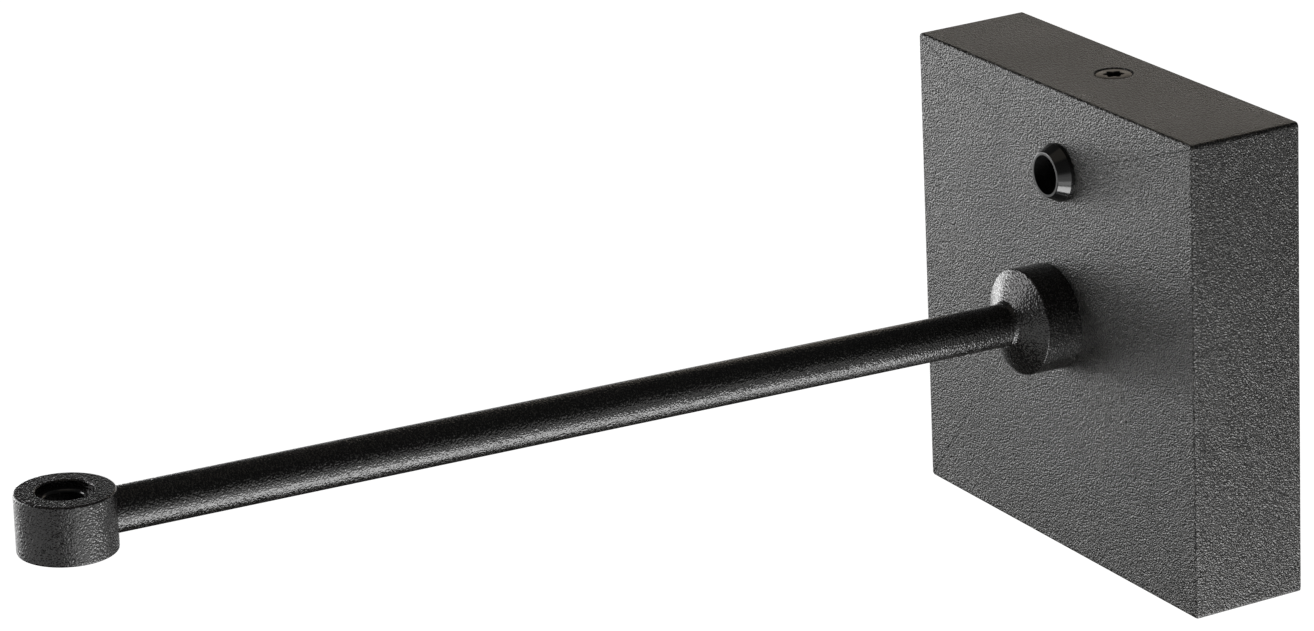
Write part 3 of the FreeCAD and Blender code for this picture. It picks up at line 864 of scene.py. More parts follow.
@dataclass
class Canopy:
    """Pressed square box with softened edges, an open back and its holes."""

    wall: float = 0.0015
    corner_round: float = 0.0008
    edge_round: float = 0.0006
    inner_round: float = 0.0005
    screw_setback: float = 0.0089
    screw_room: float = 0.00025
    hole_play: float = 0.00025
    arm_screw_diameter: float = 0.004
    end_step: float = 0.0002
    face_margin: float = 0.0003
    steps: int = 88
    split_step: int = 58
    corner_steps: int = 6
    round_steps: int = 10
    wall_rows: int = 22
    half: float = field(init=False)
    depth: float = field(init=False)

    def __post_init__(self) -> None:
        """Take the outer size from the frame."""
        low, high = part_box("canopy")
        self.half = (high.x - low.x) / 2
        self.depth = high.y - low.y

    def square_loop(self, half: float, rounding: float) -> Array:
        """Rounded square across the canopy, counted from the lower end of its right side.

        Each side is a straight run of even steps with a short step at both ends, and each
        corner a quarter circle of the given rounding about the place where the runs end.

        Args:
            half: half of the square's side.
            rounding: its corners' radius.

        Returns:
            A closed loop of (x, z), whose first point comes again at its end.
        """
        straight = half - rounding
        edge = min(self.end_step, straight / self.steps)
        inner = np.linspace(edge - straight, straight - edge, self.steps - 1)
        run = np.concatenate([[-straight], inner, [straight]])
        turn = np.linspace(0, math.pi / 2, self.corner_steps + 1)[1:-1]
        side = np.stack([np.full_like(run, half), run], axis=1)
        arc = straight + rounding * np.stack([np.cos(turn), np.sin(turn)], axis=1)
        quarter = np.concatenate([side, arc])
        quarter_turn = np.array([[0.0, 1.0], [-1.0, 0.0]])
        sides = [quarter @ np.linalg.matrix_power(quarter_turn, k) for k in range(4)]
        return np.concatenate([*sides, quarter[:1]])

    def side_start(self, number: int) -> int:
        """Index in a loop where one of its four sides starts."""
        return number * (self.steps + self.corner_steps)

    def face_regions(self, loop: Array) -> list[Array]:
        """Divide a face's square loop into three regions, one round each hole.

        The upper region lies above a level cut, and the lower ones left and right of the
        middle. Neighbours share the points of the cut between them.

        Args:
            loop: the face's closed border loop.

        Returns:
            Closed loops of the upper, left and right region.
        """
        right_cut = self.side_start(0) + self.split_step
        left_cut = self.side_start(2) + self.steps - self.split_step
        bottom = self.side_start(3) + self.steps // 2
        cut = spread(loop[left_cut], loop[right_cut], self.steps)
        middle = self.steps // 2
        stem = spread(loop[bottom], cut[middle], self.split_step)
        upper = closed_loop(loop[right_cut : left_cut + 1], cut)
        left = closed_loop(loop[left_cut : bottom + 1], stem, cut[middle::-1])
        lower_right = np.concatenate([loop[bottom:-1], loop[: right_cut + 1]])
        right = closed_loop(lower_right, cut[: middle - 1 : -1], stem[::-1])
        return [upper, left, right]

    def face_holes(self) -> list[tuple[tuple[float, float], float]]:
        """Middle and radius of the holes for the sleeve and the two arm screws.

        Returns:
            A middle (x, z) and a radius for each hole, the sleeve's first.
        """
        sleeve = middle_of("cable_sleeve")
        sleeve_radius = CableSleeve().thread_radius + self.hole_play / 2
        screw_radius = (self.arm_screw_diameter + self.hole_play) / 2
        holes = [((sleeve[0], sleeve[2]), sleeve_radius)]
        for node in ("left_arm_screw", "right_arm_screw"):
            place = middle_of(node)
            holes.append(((place[0], place[2]), screw_radius))
        return holes

    def face_with_holes(self, loop: Array, depth: float) -> tuple[list[Array], list[Array]]:
        """Flat face with its three holes.

        Args:
            loop: the face's closed border loop.
            depth: where the face lies.

        Returns:
            The face's grids, and the holes' borders as points.
        """
        grids, borders = [], []
        for region, (middle, radius) in zip(self.face_regions(loop), self.face_holes()):
            hole = hole_loop(region, middle, radius)
            grids.append(upright_plane(blend_loops(hole, region, PATCH_SHARES), depth))
            borders.append(upright_plane(hole, depth))
        return grids, borders

    def wall_with_hole(
        self, run: Array, level: float, depths: Array, radius: float
    ) -> tuple[Array, Array]:
        """Top or bottom wall surface with a round hole.

        Args:
            run: x places along the wall.
            level: the surface's height.
            depths: y places across the wall.
            radius: the hole's radius.

        Returns:
            The surface's grid and the hole's border.
        """
        near = np.stack([run, np.full_like(run, depths[0])], axis=1)
        far = np.stack([run, np.full_like(run, depths[-1])], axis=1)
        right = np.stack([np.full_like(depths, run[-1]), depths], axis=1)
        left = np.stack([np.full_like(depths, run[0]), depths], axis=1)
        border = closed_loop(near, right, far[::-1], left[::-1])
        hole = hole_loop(border, (0.0, -self.screw_setback), radius)
        patch = blend_loops(hole, border, PATCH_SHARES)
        height = np.full(patch.shape[:-1] + (1,), level)
        surface = np.concatenate([patch, height], axis=-1)
        return surface, surface[0]

    def side_walls(
        self, loop: Array, depths: Array, radius: float
    ) -> tuple[list[Array], list[Array]]:
        """The four side walls' surfaces from near the face to the back.

        Args:
            loop: the closed loop across the canopy.
            depths: y places of the rows.
            radius: radius of the screw holes where they meet this surface.

        Returns:
            The grids, and the borders of the top and the bottom hole.
        """
        grids, borders = [], []
        top, left, bottom = (self.side_start(number) for number in (1, 2, 3))
        plain = [
            np.concatenate([loop[bottom + self.steps : -1], loop[: top + 1]]),
            loop[top + self.steps : bottom + 1],
        ]
        for run in plain:
            grids.append(upright_plane(run[None].repeat(len(depths), 0), depths[:, None]))
        for start in (top, bottom):
            run = loop[start : start + self.steps + 1]
            surface, border = self.wall_with_hole(run[:, 0], run[0, 1], depths, radius)
            grids.append(surface)
            borders.append(border)
        return grids, borders

    def grids(self) -> list[Array]:
        """All of the canopy's surfaces, outer and inner, its rim and its holes' walls.

        Returns:
            Grids of points.
        """
        half, depth, rounding = self.half, self.depth, self.corner_round
        turn = np.linspace(0, math.pi / 2, self.round_steps + 1)
        last = self.edge_round + self.face_margin
        inset = np.concatenate([self.edge_round * (1 - np.cos(turn)), [last]])
        reach = np.concatenate([self.edge_round * (1 - np.sin(turn)), [0.0]]) - depth
        bands = [self.square_loop(half - step, rounding - step) for step in inset]
        front_round = np.stack([upright_plane(b, y) for b, y in zip(bands, reach)])
        shoulder = self.edge_round - depth
        even = np.linspace(shoulder + self.end_step, 0, self.wall_rows)
        rows = np.concatenate([[shoulder], even])
        head = width_of("top_cover_screw") / 2 + self.screw_room
        outer_walls, mouths = self.side_walls(bands[0], rows, head)
        face, face_mouths = self.face_with_holes(bands[-1], -depth)
        inner_loop = self.square_loop(half - self.wall, self.inner_round)
        inner_rows = np.linspace(self.wall - depth, 0, len(rows))
        inner_walls, inner_mouths = self.side_walls(inner_loop, inner_rows, head - self.wall)
        floor, floor_mouths = self.face_with_holes(inner_loop, self.wall - depth)
        rim = upright_plane(blend_loops(bands[0], inner_loop, WALL_SHARES), 0.0)
        pairs = zip(mouths + face_mouths, inner_mouths + floor_mouths)
        hole_walls = [blend_loops(outer, inner, WALL_SHARES) for outer, inner in pairs]
        return [front_round, *outer_walls, *face, *inner_walls, *floor, rim, *hole_walls]

    def build(self, workshop: Workshop) -> None:
        """Make the canopy."""
        workshop.piece("canopy_shell", self.grids(), PRESSED_COAT, "canopy")


# Cover screws


@dataclass
class CoverScrew:
    """Countersunk screw with a six-lobed socket."""

    node: str
    points_up: bool
    land: float = 0.0003
    edge_break: float = 0.0004
    length: float = 0.01
    shank_radius: float = 0.002
    lobe_radius: float = 0.00195
    waist_radius: float = 0.0014
    socket_depth: float = 0.0013
    socket_break: float = 0.0001
    socket_cone: float = 0.0003
    lobe_count: int = 6
    lobe_power: float = 0.8
    segments: int = 96

    def axis(self) -> Axis:
        """The screw's axis, from the head's flat inwards.

        Returns:
            The axis, which starts in the middle of the flat.
        """
        low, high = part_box(self.node)
        middle = middle_of(self.node)
        level = high.z if self.points_up else low.z
        inwards = -UP if self.points_up else UP
        return Axis(np.array([middle[0], middle[1], level]), inwards, SIDE)

    def grids(self) -> list[Array]:
        """The screw's surfaces.

        The socket's radius is waist + (lobe - waist) * (0.5 + 0.5 cos(count angle)) ^ power,
        and its mouth and the head's edge are broken by small bevels.

        Returns:
            The turned outside, the head's flat and the socket.
        """
        axis, angles = self.axis(), full_turn(self.segments)
        head_radius = width_of(self.node) / 2
        cone_end = self.land + head_radius - self.shank_radius
        tip = self.shank_radius / 4
        profile = softened(
            [
                (self.land, head_radius, 0),
                (cone_end, self.shank_radius, 0),
                (self.length - tip, self.shank_radius, 0),
                (self.length, self.shank_radius - tip, 0),
                (self.length, 0, 0),
            ]
        )
        lobes = (0.5 + 0.5 * np.cos(self.lobe_count * angles)) ** self.lobe_power
        socket = self.waist_radius + (self.lobe_radius - self.waist_radius) * lobes
        floor = self.socket_depth
        rings = [
            (self.land, np.full_like(angles, head_radius)),
            (self.land / 3, np.full_like(angles, head_radius - self.edge_break / 3)),
            (0.0, np.full_like(angles, head_radius - self.edge_break)),
            (0.0, socket + self.socket_break),
            (self.socket_break, socket),
            (floor, socket),
            (floor + self.socket_cone, socket * 0.0),
        ]
        top = np.stack([axis.places(np.array(a), r, angles) for a, r in rings])
        return [axis.turned(profile, angles), top]

    def build(self, workshop: Workshop) -> None:
        """Make the screw."""
        workshop.piece(self.node + "_turned", self.grids(), DARK_NICKEL, self.node)


# Arm


@dataclass
class Arm:
    """Collar, rod and ring, all turned about the arm's own axis or across it."""

    collar_length: float = 0.0072
    skirt_length: float = 0.0012
    cone_length: float = 0.00295
    collar_edge: float = 0.0003
    nose_wall: float = 0.00035
    nose_tip_wall: float = 0.0001
    nose_length: float = 0.00075
    nose_round: float = 0.0008
    seat_depth: float = 0.002
    bottom_wall: float = 0.002
    spigot_radius: float = 0.003
    spigot_room: float = 0.0005
    ring_spigot_radius: float = 0.0025
    ring_spigot_room: float = 0.0003
    play: float = 0.00003
    tap_radius: float = 0.00203
    tap_wall: float = 0.0009
    ring_height: float = 0.0107
    ring_edge: float = 0.00035
    ring_shoulder: float = 0.0001
    seat_bite: float = 0.00002
    recess_bevel: float = 0.0002
    bushing_wall: float = 0.0009
    bushing_drop: float = 0.0012
    flange_lip: float = 0.0008
    flange_thickness: float = 0.0012
    flange_edge: float = 0.0001
    bushing_play: float = 0.00005
    lip_round: float = 0.0006
    foot_room: float = 0.0003
    foot_bevel: float = 0.0004
    segments: int = 240
    stem_steps: int = 40
    patch_rows: int = 24
    patch_reach: int = 36
    out: Array = field(init=False)
    upright: Array = field(init=False)
    root: Array = field(init=False)
    ring_middle: Array = field(init=False)
    rod_radius: float = field(init=False)
    collar_radius: float = field(init=False)
    ring_radius: float = field(init=False)
    bore_radius: float = field(init=False)
    reach: float = field(init=False)

    def __post_init__(self) -> None:
        """Take the arm's line and its diameters from the frame."""
        bore = mount_named("ring_bore")
        self.upright = -np.array(bore["axis"], float)
        self.out = np.cross(SIDE, self.upright)
        self.bore_radius = bore["dims"]["r_mm"] / 1000
        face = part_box("canopy")[0].y
        self.root = np.array(
            [middle_of("arm_rod")[0], face, middle_of("arm_backing_plate")[2]]
        )
        self.rod_radius = width_of("arm_rod") / 2
        self.collar_radius = width_of("arm_collar") / 2
        self.ring_radius = width_of("end_ring") / 2
        offset = np.array(bore["pos_m"], float) - self.root
        self.reach = float(offset @ self.out)
        self.ring_middle = self.root + self.reach * self.out

    @property
    def body_radius(self) -> float:
        """Outer radius of the bushing's body."""
        return self.bore_radius + self.bushing_wall

    @property
    def recess_radius(self) -> float:
        """Radius of the ring's recess."""
        return self.body_radius + self.flange_lip

    @property
    def seat(self) -> float:
        """Distance of the rod's seat from the ring's axis."""
        return math.sqrt(self.ring_radius**2 - self.rod_radius**2)

    def collar_grids(self) -> list[Array]:
        """The collar's surfaces.

        Its nose thins towards the rod, so that the cone seems to flow into it. Its first
        circle is cut off by the canopy's face: the arm rises by the angle whose tangent is
        out.z / -out.y, so the circle starts at radius * sin(angle) * tangent.

        Returns:
            The turned outside and bore, the flat base and its two tapped holes.
        """
        axis = Axis(self.root, self.out, SIDE)
        angles = full_turn(self.segments)
        bore = self.rod_radius + self.play
        nose = bore + self.nose_wall
        cone_end = self.collar_length + self.cone_length
        nose_end = cone_end + self.nose_length
        seat = nose_end - self.seat_depth
        spigot = self.spigot_radius + self.play
        profile = softened(
            [
                (self.skirt_length, self.collar_radius, 0),
                (self.collar_length, self.collar_radius, self.collar_edge),
                (cone_end, nose, self.nose_round),
                (nose_end, bore + self.nose_tip_wall, 0),
                (nose_end, bore, 0),
                (seat, bore, 0),
                (seat, spigot, 0),
                (self.bottom_wall, spigot, 0),
                (self.bottom_wall, 0, 0),
            ]
        )
        outside = axis.turned(profile, angles)
        slope = self.out[2] / -self.out[1]
        start = slope * self.collar_radius * np.sin(angles) * np.sign(axis.across[2])
        rim = axis.places(start, np.array(self.collar_radius), angles)
        skirt = np.stack([rim, outside[0]])
        return [outside, skirt, *self.base_grids(rim)]

    def base_grids(self, rim: Array) -> list[Array]:
        """The collar's flat base with its two blind holes.

        Each half of the rim's loop and the line between them go round one hole.

        Args:
            rim: the collar's outline on the canopy's face.

        Returns:
            The base's grids, the holes' walls and their ends.
        """
        face = rim[0, 1]
        loop = rim[:, [0, 2]]
        quarter = self.segments // 4
        top, bottom = loop[quarter], loop[3 * quarter]
        stem = spread(bottom, top, self.stem_steps)
        right = closed_loop(loop[3 * quarter : -1], loop[: quarter + 1], stem[::-1])
        left = closed_loop(loop[quarter : 3 * quarter + 1], stem)
        halves = {"right_arm_screw": right, "left_arm_screw": left}
        grids = []
        for node, border in halves.items():
            middle = middle_of(node)
            hole = hole_loop(border, (middle[0], middle[2]), self.tap_radius)
            end = hole_loop(border, (middle[0], middle[2]), 0.0)
            depth = face - (self.collar_length - self.tap_wall)
            plate = blend_loops(hole, border, PATCH_SHARES)
            rows = [(hole, face), (hole, depth), (end, depth)]
            grids.append(upright_plane(plate, face))
            grids.append(np.stack([upright_plane(plane, y) for plane, y in rows]))
        return grids

    def rod_grids(self) -> list[Array]:
        """The rod, turned with a spigot at each end.

        Returns:
            One grid of points.
        """
        shoulder = self.collar_length + self.cone_length + self.nose_length - self.seat_depth
        start = self.bottom_wall + self.spigot_room
        end = self.reach - self.seat
        tip = self.reach - self.body_radius - self.bushing_play - self.ring_spigot_room
        profile = softened(
            [
                (start, 0, 0),
                (start, self.spigot_radius, 0),
                (shoulder, self.spigot_radius, 0),
                (shoulder, self.rod_radius, 0),
                (end, self.rod_radius, 0),
                (end, self.ring_spigot_radius, 0),
                (tip, self.ring_spigot_radius, 0),
                (tip, 0, 0),
            ]
        )
        axis = Axis(self.root, self.out, SIDE)
        return [axis.turned(profile, full_turn(self.segments // 2))]

    def ring_axis(self) -> Axis:
        """The ring's upright axis, with angles counted from the rod's side."""
        return Axis(self.ring_middle, self.upright, -self.out)

    def pierced_wall(
        self, radius: float, low: float, high: float, hole_radius: float
    ) -> tuple[list[Array], Array]:
        """Cylinder about the ring's axis with a round hole where the rod goes in.

        Over most of the turn it is a plain grid. Near the rod, a patch in (angle, height)
        runs from the hole's edge to a rectangle. A point of the edge in direction t lies
        hole_radius * cos(t) aside and hole_radius * sin(t) high, so its angle about the ring
        is asin(hole_radius * cos(t) / radius).

        Args:
            radius: the cylinder's radius.
            low: height of its lower edge.
            high: height of its upper edge.
            hole_radius: the hole's radius.

        Returns:
            The grids, and the hole's directions t.
        """
        step, reach = FULL_TURN / self.segments, self.patch_reach
        heights = np.linspace(low, high, self.patch_rows + 1)
        turn = step * np.arange(reach, self.segments - reach + 1)
        axis = self.ring_axis()
        plain = axis.places(heights[:, None], np.array(radius), turn[None])
        edge = step * np.arange(-reach, reach + 1)
        border = closed_loop(
            np.stack([edge, np.full_like(edge, low)], axis=1),
            np.stack([np.full_like(heights, edge[-1]), heights], axis=1),
            np.stack([edge[::-1], np.full_like(edge, high)], axis=1),
            np.stack([np.full_like(heights, edge[0]), heights[::-1]], axis=1),
        )
        direction = np.arctan2(border[:, 1], radius * border[:, 0])
        aside = np.arcsin(hole_radius * np.cos(direction) / radius)
        hole = np.stack([aside, hole_radius * np.sin(direction)], axis=1)
        patch = blend_loops(hole, border, ROUND_PATCH_SHARES)
        return [plain, axis.places(patch[..., 1], np.array(radius), patch[..., 0])], direction

    def drilled(self, direction: Array, radius: float, depth: float | Array) -> Array:
        """Loop of a hole along the arm, at a distance from the ring's axis.

        Args:
            direction: directions of its points about the hole's axis.
            radius: the hole's radius.
            depth: distance from the ring's axis, one value or one for each point.

        Returns:
            The loop's points.
        """
        axis = self.ring_axis()
        aside = radius * np.cos(direction)
        away = np.broadcast_to(depth, aside.shape)
        height = radius * np.sin(direction)
        return (
            axis.start
            + away[:, None] * axis.side
            + aside[:, None] * axis.across
            + height[:, None] * axis.along
        )

    def ring_grids(self) -> list[Array]:
        """The ring's surfaces: turned, with a flat seat and a tapped hole for the rod.

        Returns:
            Grids of points.
        """
        half = self.ring_height / 2
        bore = self.body_radius + self.bushing_play
        recess_floor = half - self.bushing_drop - self.flange_thickness
        straight = half - self.ring_edge
        shoulder = straight - self.ring_shoulder
        upper = softened(
            [
                (shoulder, self.ring_radius, 0),
                (half, self.ring_radius, self.ring_edge),
                (half, self.recess_radius + self.recess_bevel, 0),
                (half - self.recess_bevel, self.recess_radius, 0),
                (recess_floor, self.recess_radius, 0),
                (recess_floor, bore, 0),
            ]
        )
        lower = softened(
            [
                (-half, bore, 0),
                (-half, self.ring_radius, self.ring_edge),
                (-shoulder, self.ring_radius, 0),
            ]
        )
        axis, angles = self.ring_axis(), full_turn(self.segments)
        socket = self.rod_radius + self.play
        tap = self.ring_spigot_radius + self.play
        outer, out_turn = self.pierced_wall(self.ring_radius, -shoulder, shoulder, socket)
        inner, in_turn = self.pierced_wall(bore, -half, recess_floor, tap)
        floor = math.sqrt(self.ring_radius**2 - socket**2) - self.seat_bite
        mouth = np.sqrt(self.ring_radius**2 - (socket * np.cos(out_turn)) ** 2)
        end = np.sqrt(bore**2 - (tap * np.cos(in_turn)) ** 2)
        side = self.drilled(out_turn, socket, mouth)
        corner = self.drilled(out_turn, socket, floor)
        mouth_of_tap = self.drilled(in_turn, tap, floor)
        seat_wall = np.stack([side, corner, mouth_of_tap])
        tap_wall = np.stack([mouth_of_tap, self.drilled(in_turn, tap, end)])
        turned = [axis.turned(upper, angles), axis.turned(lower, angles)]
        return [*turned, *outer, *inner, seat_wall, tap_wall]

    def bushing_grids(self) -> list[Array]:
        """The flanged bushing, whose lip is a smooth round.

        Returns:
            One grid of points.
        """
        half = self.ring_height / 2
        top = half - self.bushing_drop
        under = top - self.flange_thickness
        foot = self.foot_room - half
        flange = self.recess_radius - self.bushing_play
        profile = softened(
            [
                (top, self.bore_radius, self.lip_round),
                (top, flange, self.flange_edge),
                (under, flange, 0),
                (under, self.body_radius, 0),
                (foot, self.body_radius, 0),
                (foot, self.bore_radius + self.foot_bevel, 0),
                (foot + self.foot_bevel, self.bore_radius, 0),
            ],
            closed=True,
        )
        return [self.ring_axis().turned(profile, full_turn(self.segments // 2))]

    def build(self, workshop: Workshop) -> None:
        """Make the collar, rod, ring and bushing.

        Args:
            workshop: what makes and dresses the pieces.
        """
        workshop.piece("collar_turned", self.collar_grids(), TURNED_COAT, "arm_collar")
        workshop.piece("rod_turned", self.rod_grids(), TURNED_COAT, "arm_rod")
        workshop.piece("ring_turned", self.ring_grids(), TURNED_COAT, "end_ring")
        workshop.piece("bushing_moulded", self.bushing_grids(), GLOSS_PLASTIC, "ring_bushing")


# Cable sleeve


@dataclass
class CableSleeve:
    """Glossy tube with a wide mouth, whose side widens to its flange."""

    canopy_wall: float = 0.0015
    thread_wall: float = 0.0009
    tube_step: float = 0.00025
    rim_wall: float = 0.00055
    rim_round: float = 0.00025
    flange_thickness: float = 0.0007
    flange_round: float = 0.0003
    protrusion: float = 0.0029
    mouth_depth: float = 0.0016
    funnel_overrun: float = 0.0001
    segments: int = 120
    bore_radius: float = field(init=False)

    def __post_init__(self) -> None:
        """Take the bore from the record."""
        self.bore_radius = mount_named("sleeve_bore")["dims"]["r_mm"] / 1000

    @property
    def thread_radius(self) -> float:
        """Outer radius of the thread inside the canopy."""
        return self.bore_radius + self.thread_wall

    def grids(self) -> list[Array]:
        """The sleeve, turned from one closed profile.

        Returns:
            One grid of points.
        """
        middle = middle_of("cable_sleeve")
        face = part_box("canopy")[0].y
        axis = Axis(np.array([middle[0], face, middle[2]]), -INTO_WALL, SIDE)
        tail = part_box("cable_sleeve")[1].y - face
        tube = self.thread_radius + self.tube_step
        flange = width_of("cable_sleeve") / 2
        mouth = tube - self.rim_wall
        profile = softened(
            [
                (-tail, self.bore_radius, 0),
                (-tail, self.thread_radius, 0),
                (0, self.thread_radius, 0),
                (0, flange, 0),
                (self.flange_thickness, flange, self.flange_round),
                (self.protrusion, tube, self.rim_round),
                (self.protrusion, mouth, 0),
                (self.protrusion - self.mouth_depth, mouth, 0),
                (-self.canopy_wall - self.funnel_overrun, self.bore_radius, 0),
            ],
            closed=True,
        )
        return [axis.turned(profile, full_turn(self.segments))]

    def build(self, workshop: Workshop) -> None:
        """Make the sleeve."""
        workshop.piece("sleeve_moulded", self.grids(), GLOSS_PLASTIC, "cable_sleeve")


# Inside the canopy


@dataclass
class InnerWorks:
    """The fixings and wiring parts, whose CAD shapes stay and get their finishes."""

    sheet: tuple[str, ...] = ("wall_plate", "arm_backing_plate")
    fittings: tuple[str, ...] = (
        "top_press_nut",
        "bottom_press_nut",
        "sleeve_washer",
        "left_arm_washer",
        "right_arm_washer",
        "left_arm_screw",
        "right_arm_screw",
        "terminal_screws",
        "terminal_fixing_screws",
        "earth_stud",
        "earth_washer",
        "cord_clamp_screws",
    )
    brass: tuple[str, ...] = (
        "left_terminal_clamp",
        "middle_terminal_clamp",
        "right_terminal_clamp",
        "earth_nut",
    )
    white: tuple[str, ...] = ("terminal_housing", "cord_clamp")
    black: tuple[str, ...] = ("sleeve_nut",)

    def build(self, workshop: Workshop) -> None:
        """Dress every inner node.

        Args:
            workshop: what makes and dresses the pieces.
        """
        dressing = (
            (self.sheet, ZINC_SHEET),
            (self.fittings, ZINC_FITTINGS),
            (self.brass, CLAMP_BRASS),
            (self.white, WHITE_NYLON),
            (self.black, BLACK_NYLON),
        )
        for nodes, finish in dressing:
            for node in nodes:
                workshop.dress(node, finish)


# Studio


def heading(bearing: float, elevation: float) -> Vector:
    """Direction from the bracket, as (sin b cos e, -cos b cos e, sin e).

    Args:
        bearing: angle b from the front, in degrees.
        elevation: height angle e, in degrees.

    Returns:
        A vector of length one.
    """
    turn, rise = math.radians(bearing), math.radians(elevation)
    level = math.cos(rise)
    return Vector((level * math.sin(turn), -level * math.cos(turn), math.sin(rise)))


@dataclass(frozen=True)
class Softbox:
    """An oblong lamp that faces the bracket, at a bearing from the front and a height angle."""

    name: str
    bearing: float
    elevation: float
    width: float
    height: float
    radiance: float
    distance: float = 0.9
    aim: Triple = (0.0, -0.07, 0.0)
    tint: Triple = WHITE

    def build(self) -> None:
        """Hang the lamp; its power is radiance * pi * area."""
        reach = self.distance * heading(self.bearing, self.elevation)
        light = bpy.data.lights.new(self.name, "AREA")
        light.shape = "RECTANGLE"
        light.size = self.width
        light.size_y = self.height
        light.energy = self.radiance * math.pi * self.width * self.height
        light.color = self.tint
        lamp = bpy.data.objects.new(self.name, light)
        lamp.location = Vector(self.aim) + reach
        lamp.rotation_euler = (-reach).to_track_quat("-Z", "Y").to_euler()
        lamp.visible_camera = False
        bpy.context.scene.collection.objects.link(lamp)
        LOG.info("lamp %s of radiance %.1f", self.name, self.radiance)


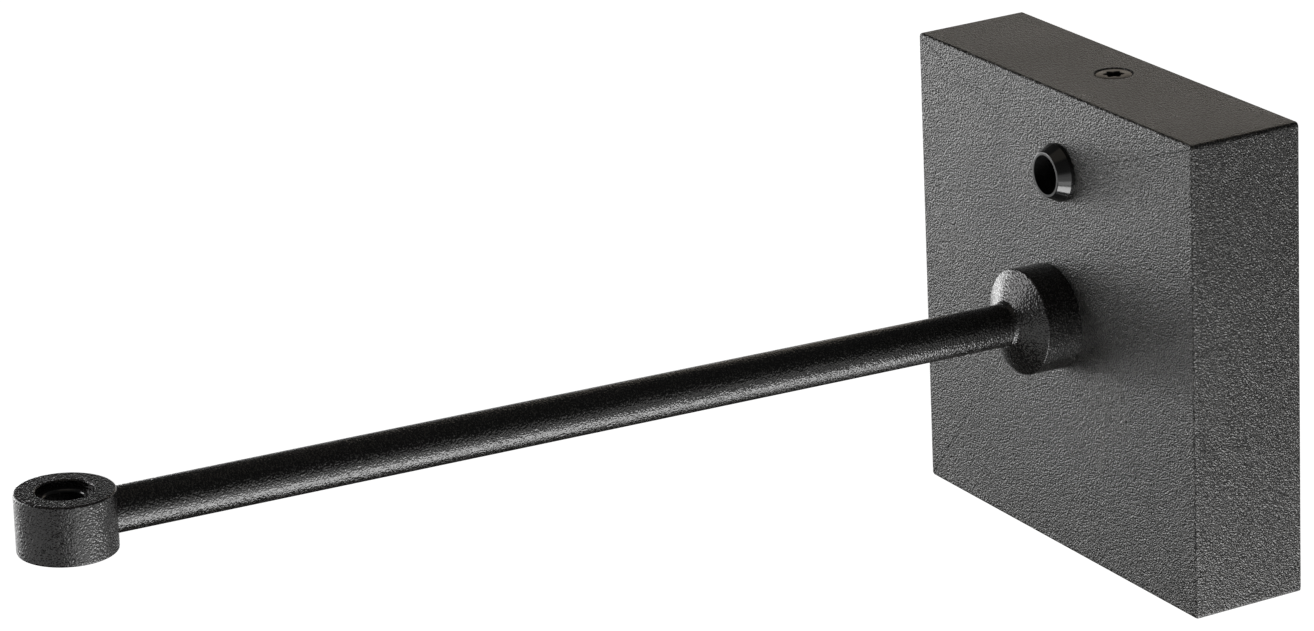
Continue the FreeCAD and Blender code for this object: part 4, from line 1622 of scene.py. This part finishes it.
@dataclass
class Studio:
    """Camera, pale floor, soft lamps and a world that is pale near the horizon."""

    azimuth: float = 61.61
    elevation: float = 19.42
    roll: float = -2.83
    lens: float = 139.78
    sensor: float = 36.0
    camera_place: Triple = (0.7487, -0.5113, 0.3187)
    floor_drop: float = 1.0
    floor_half: float = 12.0
    cloth_drop: float = 0.72
    cloth_half: float = 1.4
    sheet_points: int = 9
    floor_colour: Triple = (0.86, 0.86, 0.85)
    cloth_colour: Triple = (0.01, 0.01, 0.01)
    horizon_glow: float = 1.0
    dome_glow: float = 0.08
    glow_heights: tuple[float, float] = (0.02, 0.16)
    lamps: tuple[Softbox, ...] = (
        Softbox("left_strip", -77.0, -6.0, 0.8, 0.28, 4.0),
        Softbox("left_front_box", -45.0, 16.0, 0.38, 0.5, 5.6),
        Softbox("right_low_card", 87.0, -55.0, 0.42, 0.16, 9.5, 0.32, (0.0, -0.02, -0.01)),
        Softbox("ring_card", 100.0, -25.0, 0.22, 0.06, 3.0, 0.22, (0.0, -0.22, 0.0)),
        Softbox("back_low_card", 180.0, -52.0, 0.4, 0.4, 1.0, 0.8),
        Softbox("left_back_card", -135.0, 15.0, 0.6, 0.5, 0.36, tint=WARM),
        Softbox("top_box", 0.0, 78.0, 0.7, 0.7, 0.2, tint=WARM),
    )

    def build_camera(self) -> None:
        """Place the camera from its azimuth, elevation and roll.

        back is its direction from the bracket, right is (cos a, sin a, 0) and up is
        back x right; right and up are then turned by the roll about back.
        """
        turn, tilt = math.radians(self.azimuth), math.radians(self.roll)
        back = heading(self.azimuth, self.elevation)
        level = Vector((math.cos(turn), math.sin(turn), 0.0))
        up = back.cross(level)
        right = math.cos(tilt) * level + math.sin(tilt) * up
        crown = -math.sin(tilt) * level + math.cos(tilt) * up
        data = bpy.data.cameras.new("camera")
        data.lens = self.lens
        data.sensor_width = self.sensor
        camera = bpy.data.objects.new("camera", data)
        place = Matrix.Translation(self.camera_place)
        camera.matrix_world = place @ Matrix((right, crown, back)).transposed().to_4x4()
        bpy.context.scene.collection.objects.link(camera)
        bpy.context.scene.camera = camera
        LOG.info("camera at %s", self.camera_place)

    def level_sheet(self, name: str, half: float, drop: float) -> bpy.types.Object:
        """Lay a level square sheet under the bracket.

        Args:
            name: the sheet's name.
            half: half of its side.
            drop: how far it lies below the origin.

        Returns:
            The sheet, marked as no part of the object.
        """
        across = np.linspace(-half, half, self.sheet_points)
        x, y = np.meshgrid(across, across, indexing="ij")
        points = np.stack([x, y, np.full_like(x, -drop)], axis=-1).reshape(-1, 3)
        faces = quads(self.sheet_points, self.sheet_points)
        mesh = bpy.data.meshes.new(name)
        mesh.from_pydata(points.tolist(), [], faces.tolist())
        piece = bpy.data.objects.new(name, mesh)
        bpy.context.scene.collection.objects.link(piece)
        return piece

    def build_cloth(self) -> None:
        """Lay a black cloth under the bracket that only reflections show."""
        cloth = self.level_sheet("black_cloth", self.cloth_half, self.cloth_drop)
        cloth.visible_camera = False
        cloth.visible_diffuse = False
        cloth.visible_shadow = False
        cloth.visible_transmission = False
        material, sheet, surface = surface_sheet("cloth_black")
        weave = sheet.add("ShaderNodeBsdfDiffuse")
        weave.inputs["Color"].default_value = (*self.cloth_colour, 1.0)
        sheet.join(weave.outputs[0], surface)
        cloth.data.materials.append(material)

    def build_floor(self) -> None:
        """Lay a pale floor, lifted to white where it is seen or mirrored."""
        floor = self.level_sheet("floor", self.floor_half, self.floor_drop)
        material, sheet, surface = surface_sheet("floor_paint")
        paint = sheet.add("ShaderNodeBsdfDiffuse")
        paint.inputs["Color"].default_value = (*self.floor_colour, 1.0)
        rays = sheet.add("ShaderNodeLightPath").outputs
        seen = sheet.math("MAXIMUM", rays["Is Camera Ray"], rays["Is Glossy Ray"])
        lifted = sheet.math("MAXIMUM", seen, rays["Is Transmission Ray"])
        glow = sheet.add("ShaderNodeEmission")
        sheet.join(lifted, glow.inputs["Strength"])
        both = sheet.add("ShaderNodeAddShader")
        sheet.join(paint.outputs[0], both.inputs[0])
        sheet.join(glow.outputs[0], both.inputs[1])
        sheet.join(both.outputs[0], surface)
        floor.data.materials.append(material)

    def build_world(self) -> None:
        """Light the world pale near the horizon and darker overhead."""
        world = bpy.data.worlds.new("studio")
        world.use_nodes = True
        bpy.context.scene.world = world
        sheet = NodeSheet(world.node_tree)
        sky = sheet.add("ShaderNodeTexCoord").outputs["Generated"]
        parts = sheet.add("ShaderNodeSeparateXYZ")
        sheet.join(sky, parts.inputs[0])
        levels = (self.horizon_glow, self.dome_glow)
        glow = sheet.stretch(parts.outputs["Z"], self.glow_heights, levels)
        background = sheet.add("ShaderNodeBackground")
        sheet.join(glow, background.inputs["Strength"])
        output = sheet.add("ShaderNodeOutputWorld")
        sheet.join(background.outputs[0], output.inputs["Surface"])

    def build(self) -> None:
        """Set up the whole studio."""
        bpy.context.scene.view_settings.view_transform = "Standard"
        self.build_camera()
        self.build_floor()
        self.build_cloth()
        self.build_world()
        for lamp in self.lamps:
            lamp.build()


def main() -> None:
    """Build the bracket's looks and its studio."""
    logging.basicConfig(level=logging.INFO, format="%(name)s: %(message)s")
    workshop = Workshop()
    Canopy().build(workshop)
    CoverScrew("top_cover_screw", True).build(workshop)
    CoverScrew("bottom_cover_screw", False).build(workshop)
    Arm().build(workshop)
    CableSleeve().build(workshop)
    InnerWorks().build(workshop)
    Studio().build()


if __name__ == "__main__":
    main()
